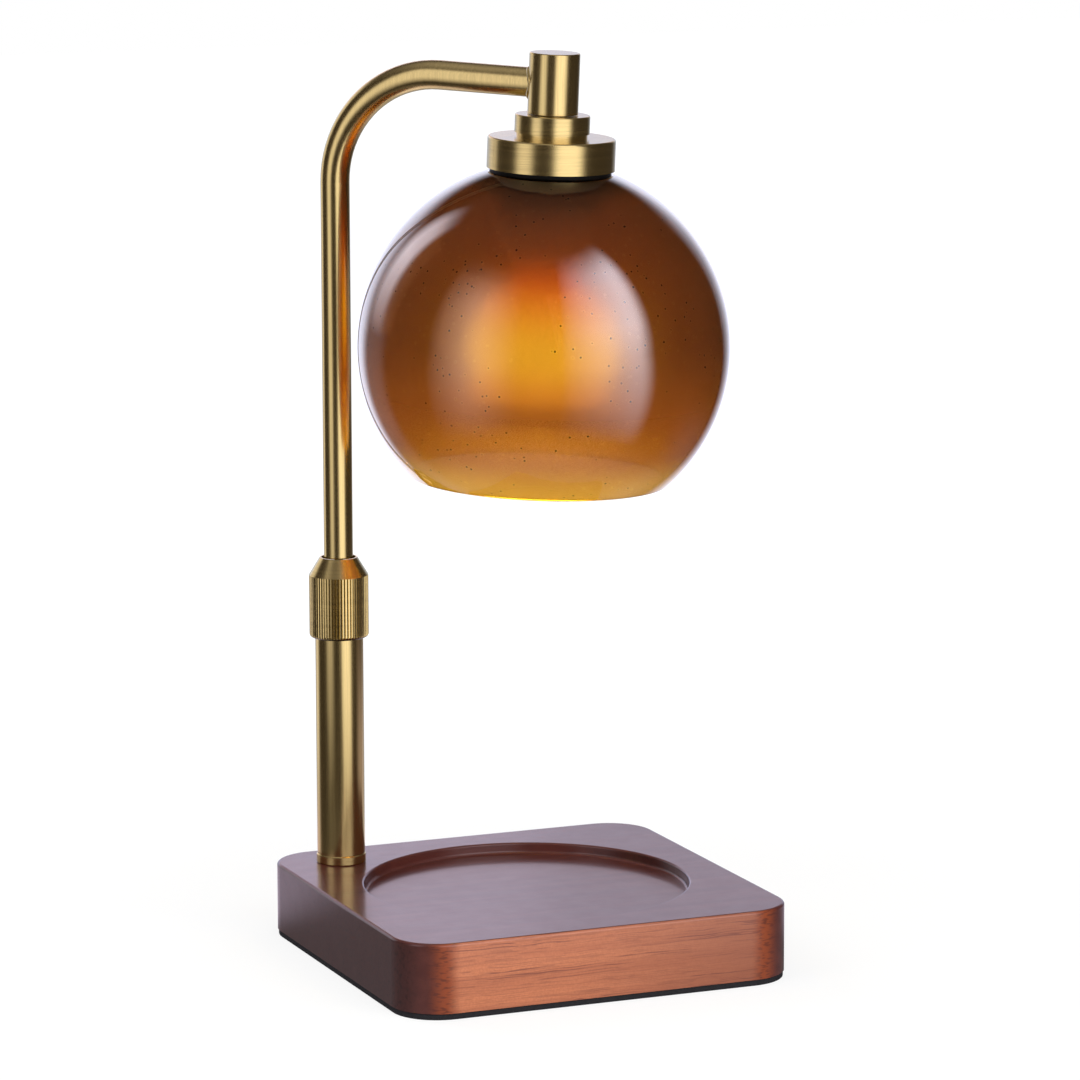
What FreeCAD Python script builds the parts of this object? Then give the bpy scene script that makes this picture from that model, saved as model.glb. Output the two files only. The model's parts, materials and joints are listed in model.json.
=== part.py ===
import FreeCAD, Part
import math
import os
import Sketcher

# Candle warmer lamp: a square wood base carries a post at one corner. A thinner tube slides and
# turns in the post, is held by a knurled collar, bends over and carries a lampholder with a glass
# globe above a round candle recess.
#
# +Z is up and the origin is the centre of the base's underside. +X runs along the front of the
# base, +Y runs to the back. All sizes are in millimetres, all angles in degrees.

Vector = FreeCAD.Vector
PARTS_FOLDER = "parts"
MAX_NODES = 60

DIMENSIONS = [
    # the base
    ("base_side", 150, "side of the square wood base"),
    ("base_corner_round", 17.4, "radius of the base's upright corners"),
    ("wood_thickness", 25.1, "thickness of the wood"),
    ("top_edge_round", 1.1, "round along the base's top edge"),
    ("pad_thickness", 2.3, "foam pad under the wood"),
    ("pad_inset", 0.4, "how far the pad stands inside the wood's outline"),
    ("recess_radius", 59.3, "round candle recess, at its wall"),
    ("recess_depth", 4.05, "depth of the recess"),
    ("recess_rim_round", 0.8, "round at the mouth of the recess"),
    ("recess_floor_round", 1.2, "hollow round at the recess floor"),
    ("post_from_left", 23.35, "post axis from the base's left side"),
    ("post_from_back", 19.85, "post axis from the base's back side"),
    ("fastener_bore_radius", 12.5, "bore in the underside for the washers and the nut"),
    ("fastener_bore_depth", 14, "depth of that bore"),
    ("inlet_height", 7.5, "cord inlet axis above the wood's underside"),
    ("grommet_radius", 4, "outside of the grommet's sleeve"),
    ("grommet_bore_radius", 3.1, "hole for the cord"),
    ("grommet_length", 9, "length of the grommet"),
    ("grommet_flange_radius", 5.5, "flange, let into the back of the base"),
    ("grommet_flange_thickness", 1.2, "thickness of the flange"),
    # the threaded tubes and their fasteners
    ("nipple_radius", 5, "outside of the hollow threaded nipples"),
    ("nipple_bore_radius", 3.6, "hole through the nipples"),
    ("post_nipple_length", 32, "nipple through the base"),
    ("nipple_below_nut", 0.8, "how far a nipple stands out of its nut"),
    ("washer_radius", 11, "flat washer in the base"),
    ("washer_thickness", 1.2, "its thickness"),
    ("lock_washer_radius", 8.6, "split washer in the base"),
    ("lock_washer_thickness", 1.3, "its thickness"),
    ("lock_washer_split", 1.5, "width of the split"),
    ("nut_across_flats", 14, "hexagon nuts"),
    ("nut_height", 5, "height of the nuts"),
    # the post
    ("foot_ring_radius", 9.15, "brass ring at the foot of the post"),
    ("foot_ring_height", 3.6, "its height"),
    ("foot_ring_bevel", 0.4, "bevels of the foot ring"),
    ("post_radius", 8.85, "outside of the lower tube"),
    ("post_wall", 1, "wall of the lower tube"),
    ("post_length", 85.2, "length of the lower tube"),
    ("post_plug_height", 10, "threaded plug in the foot of the lower tube"),
    ("spigot_length", 14, "collet body inside the lower tube"),
    ("collet_body_radius", 8.75, "threaded part of the collet body"),
    ("collet_body_height", 13, "its height above the lower tube"),
    ("collet_seat_floor", 2.2, "floor of the seat above the lower tube"),
    ("collet_radius", 6.95, "outside of the collet"),
    ("collet_height", 14.3, "height of the collet"),
    ("collet_nose_height", 3.3, "tapered nose of the collet"),
    ("collet_nose_radius", 6.1, "nose at its tip"),
    ("collet_slits", 4, "slits down from its nose"),
    ("collet_slit_width", 1.2, "width of a slit"),
    ("collet_slit_depth", 10.7, "depth of a slit"),
    ("thrust_ring_radius", 7.2, "ring between the collet and the collar"),
    ("thrust_ring_height", 2, "its height"),
    # the knurled collar
    ("collar_overlap", 3.8, "how far the collar reaches down over the lower tube"),
    ("collar_radius", 10.93, "outside of the knurled part"),
    ("collar_knurl_height", 23.2, "height of the knurled part"),
    ("collar_cone_height", 6.6, "height of the cone"),
    ("collar_top_radius", 6.92, "outside of the cone at its top"),
    ("collar_hole_radius", 6.35, "hole at the top of the cone"),
    ("collar_bore_radius", 9.15, "bore over the lower tube"),
    ("collar_ring_seat_radius", 7.5, "bore around the thrust ring"),
    ("collar_seat_height", 4.1, "height of that bore"),
    ("collar_bore_taper", 1.6, "taper between the two bores"),
    ("collar_foot_round", 1.4, "round at the lower edge"),
    ("knurl_depth", 0.4, "depth of the knurl grooves"),
    ("knurl_width", 0.62, "width of a groove at its mouth"),
    ("knurl_count", 60, "grooves round the collar"),
    # the upper tube and arm
    ("arm_radius", 5.32, "outside of the upper tube"),
    ("arm_wall", 0.9, "wall of the upper tube"),
    ("arm_height", 320.43, "arm's centre line where its straight run leaves the bend"),
    ("bend_radius", 40, "bend of the arm, at its centre line"),
    ("reach", 85.9, "from the post axis to the head, along the arm"),
    ("heading", -45, "direction of the arm, seen from above"),
    ("droop", 2.47, "slope of the arm below level"),
    ("raise_travel", 10, "how far the arm can still be raised"),
    ("bush_length", 12, "guide bush on the upper tube"),
    ("bush_ring_radius", 7.2, "retaining rings beside the bush"),
    ("bush_ring_thickness", 1, "their thickness"),
    ("arm_tail", 1.5, "tube left below the lower ring"),
    # the head
    ("head_radius", 9.06, "outside of the short upright head tube"),
    ("head_wall", 1.2, "wall of the head tube"),
    ("head_above", 11.2, "top of the head tube above the arm's centre line"),
    ("head_below", 10.5, "bottom of the head tube below that line"),
    ("head_edge_round", 0.5, "round on the head tube's top edge"),
    ("braze_width", 1.3, "brazed fillet between arm and head tube"),
    ("head_plug_height", 5, "threaded plug in the head tube"),
    ("step_gap", 0.3, "shadow gap under the head tube"),
    ("step_radius", 13.43, "small ring below the head tube"),
    ("step_height", 6.5, "its height"),
    ("step_neck_radius", 12.7, "narrower neck under it"),
    ("step_neck_height", 1.6, "height of that neck"),
    ("step_edge_round", 0.5, "round on its top edge"),
    ("cup_radius", 22.9, "outside of the shade cup"),
    ("cup_height", 11.3, "height of the shade cup"),
    ("cup_wall", 1.1, "side wall of the cup"),
    ("cup_plate", 1.2, "top plate of the cup"),
    ("cup_edge_round", 0.8, "round on the cup's top edge"),
    ("head_nipple_length", 23.6, "nipple through the head"),
    ("head_washer_radius", 7.4, "washer on that nipple"),
    ("head_washer_thickness", 1, "its thickness"),
    # the glass globe and what clamps it
    ("globe_radius", 66.93, "outside of the globe"),
    ("globe_wall", 2.5, "thickness of the glass"),
    ("globe_drop", 94.46, "globe's centre below the arm's centre line"),
    ("globe_rim_drop", 48.14, "rim below the globe's centre"),
    ("globe_hole_radius", 21.9, "hole at the globe's top"),
    ("globe_rim_round", 0.9, "round on the rim's edges"),
    ("gasket_radius", 21.7, "rubber sleeve in that hole"),
    ("gasket_height", 6.8, "its height"),
    ("gasket_below_cup", 3.4, "how far it stands out of the cup"),
    ("shade_ring_radius", 26, "threaded ring that holds the globe from inside"),
    ("shade_ring_height", 5.2, "its height"),
    ("shade_ring_slope", 1.7, "fall of its top face, which follows the glass"),
    ("shade_ring_gap", 0.45, "room between the ring's top edge and the glass"),
    # the lampholder
    ("sleeve_radius", 18.4, "threaded sleeve of the lampholder"),
    ("sleeve_wall", 3, "its wall"),
    ("sleeve_plate", 2.2, "its top plate"),
    ("sleeve_length", 25.3, "its length"),
    ("holder_radius", 15, "ceramic block of the lampholder"),
    ("holder_standoff", 10.1, "bosses between the sleeve's plate and the block"),
    ("holder_cap_height", 8.5, "upper half of the block"),
    ("holder_body_height", 21.4, "lower half of the block"),
    ("holder_cavity_radius", 8.2, "room for the contacts"),
    ("holder_floor", 8.3, "floor below the contacts"),
    ("holder_wire_hole", 3, "hole for the leads"),
    ("holder_screw_spacing", 22, "distance between the two screws"),
    ("holder_boss_radius", 2.6, "bosses round the screws"),
    ("holder_screw_radius", 1.5, "thread of the screws"),
    ("holder_screw_head_radius", 2.6, "head of the screws"),
    ("holder_screw_head_height", 2.2, "its height"),
    ("holder_screw_sink", 0.5, "how deep the heads are sunk"),
    ("holder_screw_grip", 1.7, "thread length inside the sleeve's plate"),
    ("contact_length", 6.2, "contact strips, along the line of the pins"),
    ("contact_width", 4, "their width"),
    ("contact_thickness", 0.8, "their thickness"),
    ("contact_inner_edge", 0.9, "from the axis to a strip"),
    ("lead_radius", 0.9, "insulated leads inside the tubes"),
    ("lead_offset", 1.7, "from the tubes' centre line to a lead"),
    ("lead_turn_radius", 5, "turn of the leads in the head"),
    ("splice_radius", 1.5, "crimped splices at the leads' lower ends"),
    ("splice_length", 12, "their length"),
    ("splice_above_tail", 2, "splices above the end of the upper tube"),
    # the bulb: 50 mm reflector lamp with two pins
    ("bulb_gap", 0.3, "room between the lampholder and the bulb"),
    ("bulb_length", 49.4, "from the bulb's back to its front"),
    ("bulb_radius", 25, "rim of the reflector"),
    ("bulb_rim_height", 6.2, "straight part of the rim"),
    ("bulb_base_radius", 10.5, "ceramic base, at its back"),
    ("bulb_neck_radius", 13, "ceramic base, at the reflector"),
    ("bulb_base_height", 10, "height of the ceramic base"),
    ("bulb_wall", 1.4, "glass of the reflector"),
    ("bulb_bulge", 7, "how far the reflector's curve bellies out"),
    ("lens_setback", 0.4, "lens behind the rim"),
    ("lens_thickness", 2.2, "front lens"),
    ("capsule_radius", 4.2, "halogen capsule"),
    ("capsule_length", 24, "its length"),
    ("pin_spacing", 10, "distance between the two pins"),
    ("pin_radius", 1.5, "shank of a pin"),
    ("pin_head_radius", 2.4, "head of a pin"),
    ("pin_length", 8, "length of a pin"),
    ("pin_head_length", 2.4, "length of its head"),
    ("pin_room", 0.4, "room round a pin in its curved slot"),
    ("twist_angle", 30, "turn that frees the bulb"),
    # clearances
    ("hole_clearance", 0.2, "round a nipple in wood"),
    ("thread_clearance", 0.1, "between two threads"),
    ("seat_clearance", 0.05, "round a piece that sits in a tube"),
    ("slide_clearance", 0.07, "round the bush in the lower tube"),
    ("turn_clearance", 0.06, "round the upper tube in a bearing"),
    ("end_clearance", 0.15, "at each end of the bush"),
    ("running_gap", 0.3, "between pieces that move past each other"),
]


class Size:
    """A length or angle that carries its value and its formula in the spreadsheet's names."""

    def __init__(self, value, formula):
        self.value = value
        self.formula = formula

    def __add__(self, other):
        other = as_size(other)
        return Size(self.value + other.value, f"({self.formula} + {other.formula})")

    def __sub__(self, other):
        other = as_size(other)
        return Size(self.value - other.value, f"({self.formula} - {other.formula})")

    def __mul__(self, other):
        other = as_size(other)
        return Size(self.value * other.value, f"({self.formula} * {other.formula})")

    def __truediv__(self, other):
        other = as_size(other)
        return Size(self.value / other.value, f"({self.formula} / {other.formula})")

    def __rsub__(self, other):
        return as_size(other) - self

    def __neg__(self):
        return Size(-self.value, f"(0 - {self.formula})")


def as_size(thing):
    return thing if isinstance(thing, Size) else Size(thing, repr(thing))


def root(square):
    return Size(math.sqrt(square.value), f"sqrt({square.formula})")


def cosine(angle):
    angle = as_size(angle)
    return Size(math.cos(math.radians(angle.value)), f"cos({angle.formula})")


def sine(angle):
    angle = as_size(angle)
    return Size(math.sin(math.radians(angle.value)), f"sin({angle.formula})")


class Sizes:
    """The driving dimensions: one attribute for each alias of the spreadsheet."""


def make_sheet(document):
    sheet = document.addObject("Spreadsheet::Sheet", "Sizes")
    sizes = Sizes()
    for row, (alias, value, note) in enumerate(DIMENSIONS, start=1):
        sheet.set(f"A{row}", alias)
        sheet.set(f"B{row}", str(value))
        sheet.set(f"C{row}", note)
        sheet.setAlias(f"B{row}", alias)
        setattr(sizes, alias, Size(value, f"Sizes.{alias}"))
    document.recompute()
    return sizes


doc = FreeCAD.newDocument("CandleWarmerLamp")
s = make_sheet(doc)
ZERO = as_size(0)
nodes = []


# ---------------------------------------------------------------- drawing helpers

class Arc:
    """The next stretch of an outline is an arc of this radius about this centre.

    It takes the shorter way round. A half circle has none: it turns left, and is held by its
    centre, because its ends are as far apart as they can be.
    """

    def __init__(self, radius, centre_x, centre_y, half_circle=False):
        self.radius = radius
        self.centre_x = as_size(centre_x)
        self.centre_y = as_size(centre_y)
        self.centre = Vector(self.centre_x.value, self.centre_y.value, 0)
        self.half_circle = half_circle


def rounded_corner(x, y, radius, side_x, side_y, upright_first):
    """Corner (x, y) rounded towards side_x, side_y (each 1 or -1), as point, arc, point."""
    on_upright = (x, y + radius * side_y)
    on_level = (x + radius * side_x, y)
    arc = Arc(radius, x + radius * side_x, y + radius * side_y)
    if upright_first:
        return [on_upright, arc, on_level]
    return [on_level, arc, on_upright]


def bevelled_corner(x, y, bevel, side_x, side_y, upright_first):
    on_upright = (x, y + bevel * side_y)
    on_level = (x + bevel * side_x, y)
    return [on_upright, on_level] if upright_first else [on_level, on_upright]


def bind(thing, prop, size):
    thing.setExpression(prop, as_size(size).formula)


def new_body(label, place=None):
    body = doc.addObject("PartDesign::Body", label)
    body.Label = label
    if place is not None:
        body.setExpression("Placement", place)
    nodes.append(body)
    return body


def origin_feature(body, role):
    return [item for item in body.Origin.OriginFeatures if item.Role == role][0]


def new_sketch(body, plane, name, shift_x=ZERO, shift_y=ZERO, shift_z=ZERO):
    """A sketch on one of the body's own origin planes, shifted in the sketch's directions."""
    sketch = body.newObject("Sketcher::SketchObject", name)
    sketch.AttachmentSupport = (origin_feature(body, plane), [""])
    sketch.MapMode = "FlatFace"
    for axis, shift in (("x", shift_x), ("y", shift_y), ("z", shift_z)):
        bind(sketch, f"AttachmentOffset.Base.{axis}", shift)
    return sketch


def fix_coordinate(sketch, kind, geometry, position, size):
    """Hold one coordinate of a point: on an axis of the sketch where it is nought."""
    if size is ZERO:
        axis = -2 if kind == "DistanceX" else -1
        sketch.addConstraint(Sketcher.Constraint("PointOnObject", geometry, position, axis))
        return
    constraint = Sketcher.Constraint(kind, -1, 1, geometry, position, size.value)
    name = f"{kind[-1].lower()}{geometry}_{position}"
    sketch.renameConstraint(sketch.addConstraint(constraint), name)
    bind(sketch, f"Constraints.{name}", size)


def fix_point(sketch, geometry, position, point):
    fix_coordinate(sketch, "DistanceX", geometry, position, point[0])
    fix_coordinate(sketch, "DistanceY", geometry, position, point[1])


def add_arc(sketch, arc, start, end):
    """Draw the arc and return its number and the positions of its start and its end."""
    to_start = start - arc.centre
    to_end = end - arc.centre
    cross = to_start.x * to_end.y - to_start.y * to_end.x
    turns_left = arc.half_circle or cross > 0
    first, last = (to_start, to_end) if turns_left else (to_end, to_start)
    circle = Part.Circle(arc.centre, Vector(0, 0, 1), arc.radius.value)
    shape = Part.ArcOfCircle(circle, math.atan2(first.y, first.x), math.atan2(last.y, last.x))
    number = sketch.addGeometry(shape, False)
    if not arc.half_circle:
        fix_radius(sketch, number, arc.radius)
    elif abs(to_start.y) > abs(to_start.x):
        fix_coordinate(sketch, "DistanceX", number, 3, arc.centre_x)
    else:
        fix_coordinate(sketch, "DistanceY", number, 3, arc.centre_y)
    return (number, 1, 2) if turns_left else (number, 2, 1)


def fix_radius(sketch, number, radius):
    constraint = Sketcher.Constraint("Radius", number, radius.value)
    sketch.renameConstraint(sketch.addConstraint(constraint), f"radius{number}")
    bind(sketch, f"Constraints.radius{number}", radius)


def draw(sketch, outline, closed=True):
    """Draw points (x, y), joined by lines or by the arcs that stand between them."""
    points = []
    arcs = {}
    for item in outline:
        if isinstance(item, Arc):
            arcs[len(points) - 1] = item
        else:
            points.append((as_zero(item[0]), as_zero(item[1])))
    count = len(points) if closed else len(points) - 1
    pieces = []
    for index in range(count):
        start, end = points[index], points[(index + 1) % len(points)]
        start_at = Vector(start[0].value, start[1].value, 0)
        end_at = Vector(end[0].value, end[1].value, 0)
        if index in arcs:
            pieces.append(add_arc(sketch, arcs[index], start_at, end_at))
        else:
            pieces.append((sketch.addGeometry(Part.LineSegment(start_at, end_at), False), 1, 2))
    for index, (number, start_position, end_position) in enumerate(pieces):
        fix_point(sketch, number, start_position, points[index])
        if closed or index + 1 < count:
            following = pieces[(index + 1) % count]
            joint = Sketcher.Constraint("Coincident", number, end_position,
                                        following[0], following[1])
            sketch.addConstraint(joint)
        else:
            fix_point(sketch, number, end_position, points[-1])


def as_zero(size):
    """The shared ZERO for a plain nought, so that the point is held on the axis."""
    size = as_size(size)
    return ZERO if size.formula == "0" else size


def draw_circle(sketch, x, y, radius):
    centre = Vector(as_size(x).value, as_size(y).value, 0)
    number = sketch.addGeometry(Part.Circle(centre, Vector(0, 0, 1), radius.value), False)
    fix_point(sketch, number, 3, (as_zero(x), as_zero(y)))
    fix_radius(sketch, number, radius)


# ---------------------------------------------------------------- feature helpers

def turn(body, profiles, axis="V_Axis", cut=False, **shift):
    """Turn closed profiles (radius, height) about the axis of their sketch."""
    sketch = new_sketch(body, "XZ_Plane", f"{body.Label}_profile", **shift)
    for profile in profiles:
        draw(sketch, profile)
    kind = "PartDesign::Groove" if cut else "PartDesign::Revolution"
    feature = body.newObject(kind, f"{body.Label}_{'groove' if cut else 'turning'}")
    feature.Profile = sketch
    feature.ReferenceAxis = (sketch, [axis])
    feature.Angle = 360
    return feature


def tube_profile(inner, outer, low, high):
    return [(inner, low), (outer, low), (outer, high), (inner, high)]


def pad(body, sketch, length):
    feature = body.newObject("PartDesign::Pad", f"{body.Label}_pad")
    feature.Profile = sketch
    feature.Type = "Length"
    bind(feature, "Length", length)
    return feature


def pocket(body, sketch, length=None, reverse=False):
    """Cut along the sketch's back side, or along its front side when reversed."""
    feature = body.newObject("PartDesign::Pocket", f"{body.Label}_pocket")
    feature.Profile = sketch
    feature.Reversed = reverse
    if length is None:
        feature.Type = "ThroughAll"
    else:
        feature.Type = "Length"
        bind(feature, "Length", length)
    return feature


def repeat_round(body, feature, count):
    """Repeat a feature evenly round the body's own Z axis."""
    pattern = body.newObject("PartDesign::PolarPattern", f"{body.Label}_repeat")
    pattern.Originals = [feature]
    pattern.Axis = (origin_feature(body, "Z_Axis"), [""])
    pattern.Angle = 360
    bind(pattern, "Occurrences", count)
    body.Tip = pattern


def repeat_across(body, feature, plane):
    """Mirror a feature to the other side of one of the body's own planes."""
    mirror = body.newObject("PartDesign::Mirrored", f"{body.Label}_mirror")
    mirror.Originals = [feature]
    mirror.MirrorPlane = (origin_feature(body, plane), [""])
    body.Tip = mirror


def round_edges(body, base, radius, wanted):
    """Round the edges that the test picks."""
    doc.recompute()
    names = []
    for number, edge in enumerate(base.Shape.Edges, start=1):
        if wanted(edge):
            names.append(f"Edge{number}")
    feature = body.newObject("PartDesign::Fillet", f"{body.Label}_round")
    feature.Base = (base, names)
    bind(feature, "Radius", radius)
    body.Tip = feature
    return feature


def is_upright(edge):
    box = edge.BoundBox
    return box.ZLength > 1 and box.XLength < 0.01 and box.YLength < 0.01


def square(side):
    half = side / 2
    return [(-half, -half), (half, -half), (half, half), (-half, half)]


def hexagon(across_flats):
    corner = across_flats / 2 / cosine(30)
    return [(corner * cosine(60 * k), corner * sine(60 * k)) for k in range(6)]


def turned_piece(label, place, profiles, **shift):
    body = new_body(label, place)
    turn(body, profiles, **shift)
    return body


# ---------------------------------------------------------------- places

post_x = s.post_from_left - s.base_side / 2
post_y = s.base_side / 2 - s.post_from_back
head_out = s.bend_radius + (s.reach - s.bend_radius) * cosine(s.droop)
head_z = s.arm_height - (s.reach - s.bend_radius) * sine(s.droop)
head_x = post_x + head_out * cosine(s.heading)
head_y = post_y + head_out * sine(s.heading)


def placed(x, y, z, yaw, pitch):
    spot = f"vector({as_size(x).formula}; {as_size(y).formula}; {as_size(z).formula})"
    return f"placement({spot}; rotation({as_size(yaw).formula}; {as_size(pitch).formula}; 0))"


# The post's pieces stand on the post axis, with their X axis along the arm. The head's pieces
# have their origin where the arm meets the head, their Z axis along the head and their X axis
# along the drooping arm.
POST = placed(post_x, post_y, 0, s.heading, 0)
HEAD = placed(head_x, head_y, head_z, s.heading, s.droop)

# heights on the post axis
wood_top = s.pad_thickness + s.wood_thickness
bore_ceiling = s.pad_thickness + s.fastener_bore_depth
tube_foot = wood_top + s.foot_ring_height
tube_top = tube_foot + s.post_length
tube_inner = s.post_radius - s.post_wall
washer_low = bore_ceiling - s.washer_thickness
lock_washer_low = washer_low - s.lock_washer_thickness
nut_low = lock_washer_low - s.nut_height
nipple_low = nut_low - s.nipple_below_nut
nipple_hole = s.nipple_radius + s.thread_clearance
collar_low = tube_top - s.collar_overlap
collar_shoulder = collar_low + s.collar_knurl_height
collar_top = collar_shoulder + s.collar_cone_height
spigot_low = tube_top - s.spigot_length
collet_seat = tube_top + s.collet_seat_floor
collet_low = collet_seat + s.seat_clearance
collet_top = collet_low + s.collet_height
thrust_low = collet_top + s.running_gap
thrust_top = thrust_low + s.thrust_ring_height
upper_ring_top = spigot_low - s.raise_travel - s.running_gap
bush_top = upper_ring_top - s.bush_ring_thickness - s.end_clearance
bush_low = bush_top - s.bush_length
lower_ring_low = bush_low - s.end_clearance - s.bush_ring_thickness
arm_low = lower_ring_low - s.arm_tail
bearing_radius = s.arm_radius + s.turn_clearance
arm_inner = s.arm_radius - s.arm_wall

# heights on the head's axis, from the arm's centre line
head_low = -s.head_below
step_top = head_low - s.step_gap
step_shoulder = step_top - s.step_height
cup_top = step_shoulder - s.step_neck_height
cup_low = cup_top - s.cup_height
sleeve_top = cup_top - s.cup_plate
sleeve_plate_low = sleeve_top - s.sleeve_plate
head_washer_low = sleeve_plate_low - s.head_washer_thickness
head_nut_low = head_washer_low - s.nut_height
head_nipple_low = head_nut_low - s.nipple_below_nut
holder_top = sleeve_plate_low - s.holder_standoff
holder_split = holder_top - s.holder_cap_height
holder_low = holder_split - s.holder_body_height
cavity_floor = holder_low + s.holder_floor
bulb_back = holder_low - s.bulb_gap
bulb_front = bulb_back - s.bulb_length
globe_centre = -s.globe_drop
globe_inner = s.globe_radius - s.globe_wall
screw_x = s.holder_screw_spacing / 2


# ---------------------------------------------------------------- the base

def make_wood_base():
    body = new_body("wood_base")
    outline = new_sketch(body, "XY_Plane", "base_outline", shift_z=s.pad_thickness)
    draw(outline, square(s.base_side))
    block = pad(body, outline, s.wood_thickness)
    block = round_edges(body, block, s.base_corner_round, is_upright)
    top = wood_top.value
    block = round_edges(body, block, s.top_edge_round,
                        lambda edge: edge.BoundBox.ZMin > top - 0.01)
    cut_candle_recess(body)
    hole = new_sketch(body, "XY_Plane", "post_hole", shift_z=wood_top)
    draw_circle(hole, post_x, post_y, s.nipple_radius + s.hole_clearance)
    pocket(body, hole)
    bore = new_sketch(body, "XY_Plane", "fastener_bore", shift_z=bore_ceiling)
    draw_circle(bore, post_x, post_y, s.fastener_bore_radius)
    pocket(body, bore)
    inlet_z = s.pad_thickness + s.inlet_height
    passage = new_sketch(body, "XZ_Plane", "inlet_passage", shift_z=-s.base_side / 2)
    draw_circle(passage, post_x, inlet_z, s.grommet_radius + s.seat_clearance)
    pocket(body, passage, s.post_from_back, reverse=True)
    seat = new_sketch(body, "XZ_Plane", "inlet_seat", shift_z=-s.base_side / 2)
    draw_circle(seat, post_x, inlet_z, s.grommet_flange_radius + s.seat_clearance)
    pocket(body, seat, s.grommet_flange_thickness, reverse=True)


def cut_candle_recess(body):
    floor = wood_top - s.recess_depth
    rim = s.recess_radius + s.recess_rim_round
    above = wood_top + s.recess_depth
    profile = [(ZERO, above), (rim, above)]
    profile += [(rim, wood_top), Arc(s.recess_rim_round, rim, wood_top - s.recess_rim_round)]
    profile += [(s.recess_radius, wood_top - s.recess_rim_round)]
    profile += rounded_corner(s.recess_radius, floor, s.recess_floor_round, -1, 1, True)
    profile += [(ZERO, floor)]
    turn(body, [profile], cut=True)


def make_base_pad():
    body = new_body("base_pad")
    outline = new_sketch(body, "XY_Plane", "pad_outline")
    draw(outline, square(s.base_side - s.pad_inset * 2))
    block = pad(body, outline, s.pad_thickness)
    round_edges(body, block, s.base_corner_round - s.pad_inset, is_upright)


def make_cord_grommet():
    """A sleeve with a flange in the back of the base; its X axis points out of the back."""
    place = placed(post_x, s.base_side / 2, s.pad_thickness + s.inlet_height, 90, 0)
    body = new_body("cord_grommet", place)
    flange = -s.grommet_flange_thickness
    profile = [(-s.grommet_length, s.grommet_bore_radius), (ZERO, s.grommet_bore_radius),
               (ZERO, s.grommet_flange_radius), (flange, s.grommet_flange_radius),
               (flange, s.grommet_radius), (-s.grommet_length, s.grommet_radius)]
    turn(body, [profile], axis="H_Axis")


def make_foot_ring():
    profile = [(nipple_hole, wood_top)]
    profile += bevelled_corner(s.foot_ring_radius, wood_top, s.foot_ring_bevel, -1, 1, False)
    profile += bevelled_corner(s.foot_ring_radius, tube_foot, s.foot_ring_bevel, -1, -1, True)
    profile += [(nipple_hole, tube_foot)]
    turned_piece("foot_ring", POST, [profile])


def make_post_fasteners():
    turned_piece("post_nipple", POST, [tube_profile(s.nipple_bore_radius, s.nipple_radius,
                                                    nipple_low, nipple_low + s.post_nipple_length)])
    turned_piece("nipple_washer", POST, [tube_profile(nipple_hole, s.washer_radius,
                                                      washer_low, bore_ceiling)])
    lock = new_body("lock_washer", POST)
    turn(lock, [tube_profile(nipple_hole, s.lock_washer_radius, lock_washer_low, washer_low)])
    split = new_sketch(lock, "XY_Plane", "washer_split", shift_z=washer_low)
    half = s.lock_washer_split / 2
    draw(split, [(ZERO, -half), (s.washer_radius, -half), (s.washer_radius, half), (ZERO, half)])
    pocket(lock, split)
    make_nut("nipple_nut", POST, nut_low)


def make_nut(label, place, low):
    body = new_body(label, place)
    outline = new_sketch(body, "XY_Plane", f"{label}_outline", shift_z=low)
    draw(outline, hexagon(s.nut_across_flats))
    draw_circle(outline, 0, 0, nipple_hole)
    pad(body, outline, s.nut_height)


# ---------------------------------------------------------------- the post and its clamp

def make_post():
    turned_piece("lower_tube", POST, [tube_profile(tube_inner, s.post_radius,
                                                   tube_foot, tube_top)])
    plug_radius = tube_inner - s.seat_clearance
    turned_piece("post_plug", POST, [tube_profile(nipple_hole, plug_radius, tube_foot,
                                                  tube_foot + s.post_plug_height)])


def make_collet_body():
    """A spigot in the tube's mouth, and above it the thread for the collar and the collet's seat."""
    passage = s.arm_radius + s.running_gap
    seat = s.collet_radius + s.seat_clearance
    spigot = tube_inner - s.seat_clearance
    top = tube_top + s.collet_body_height
    profile = [(passage, spigot_low), (spigot, spigot_low), (spigot, tube_top),
               (s.collet_body_radius, tube_top), (s.collet_body_radius, top),
               (seat, top), (seat, collet_seat), (passage, collet_seat)]
    turned_piece("collet_body", POST, [profile])


def make_collet():
    body = new_body("collet", POST)
    nose = collet_top - s.collet_nose_height
    turn(body, [[(bearing_radius, collet_low), (s.collet_radius, collet_low),
                 (s.collet_radius, nose), (s.collet_nose_radius, collet_top),
                 (bearing_radius, collet_top)]])
    slit = new_sketch(body, "XY_Plane", "slit_outline", shift_z=collet_top)
    half = s.collet_slit_width / 2
    outer = s.collet_radius * 2
    draw(slit, [(ZERO, -half), (outer, -half), (outer, half), (ZERO, half)])
    cut = pocket(body, slit, s.collet_slit_depth)
    repeat_round(body, cut, s.collet_slits)


def make_thrust_ring():
    turned_piece("thrust_ring", POST, [tube_profile(s.arm_radius + s.running_gap,
                                                    s.thrust_ring_radius, thrust_low, thrust_top)])


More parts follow.
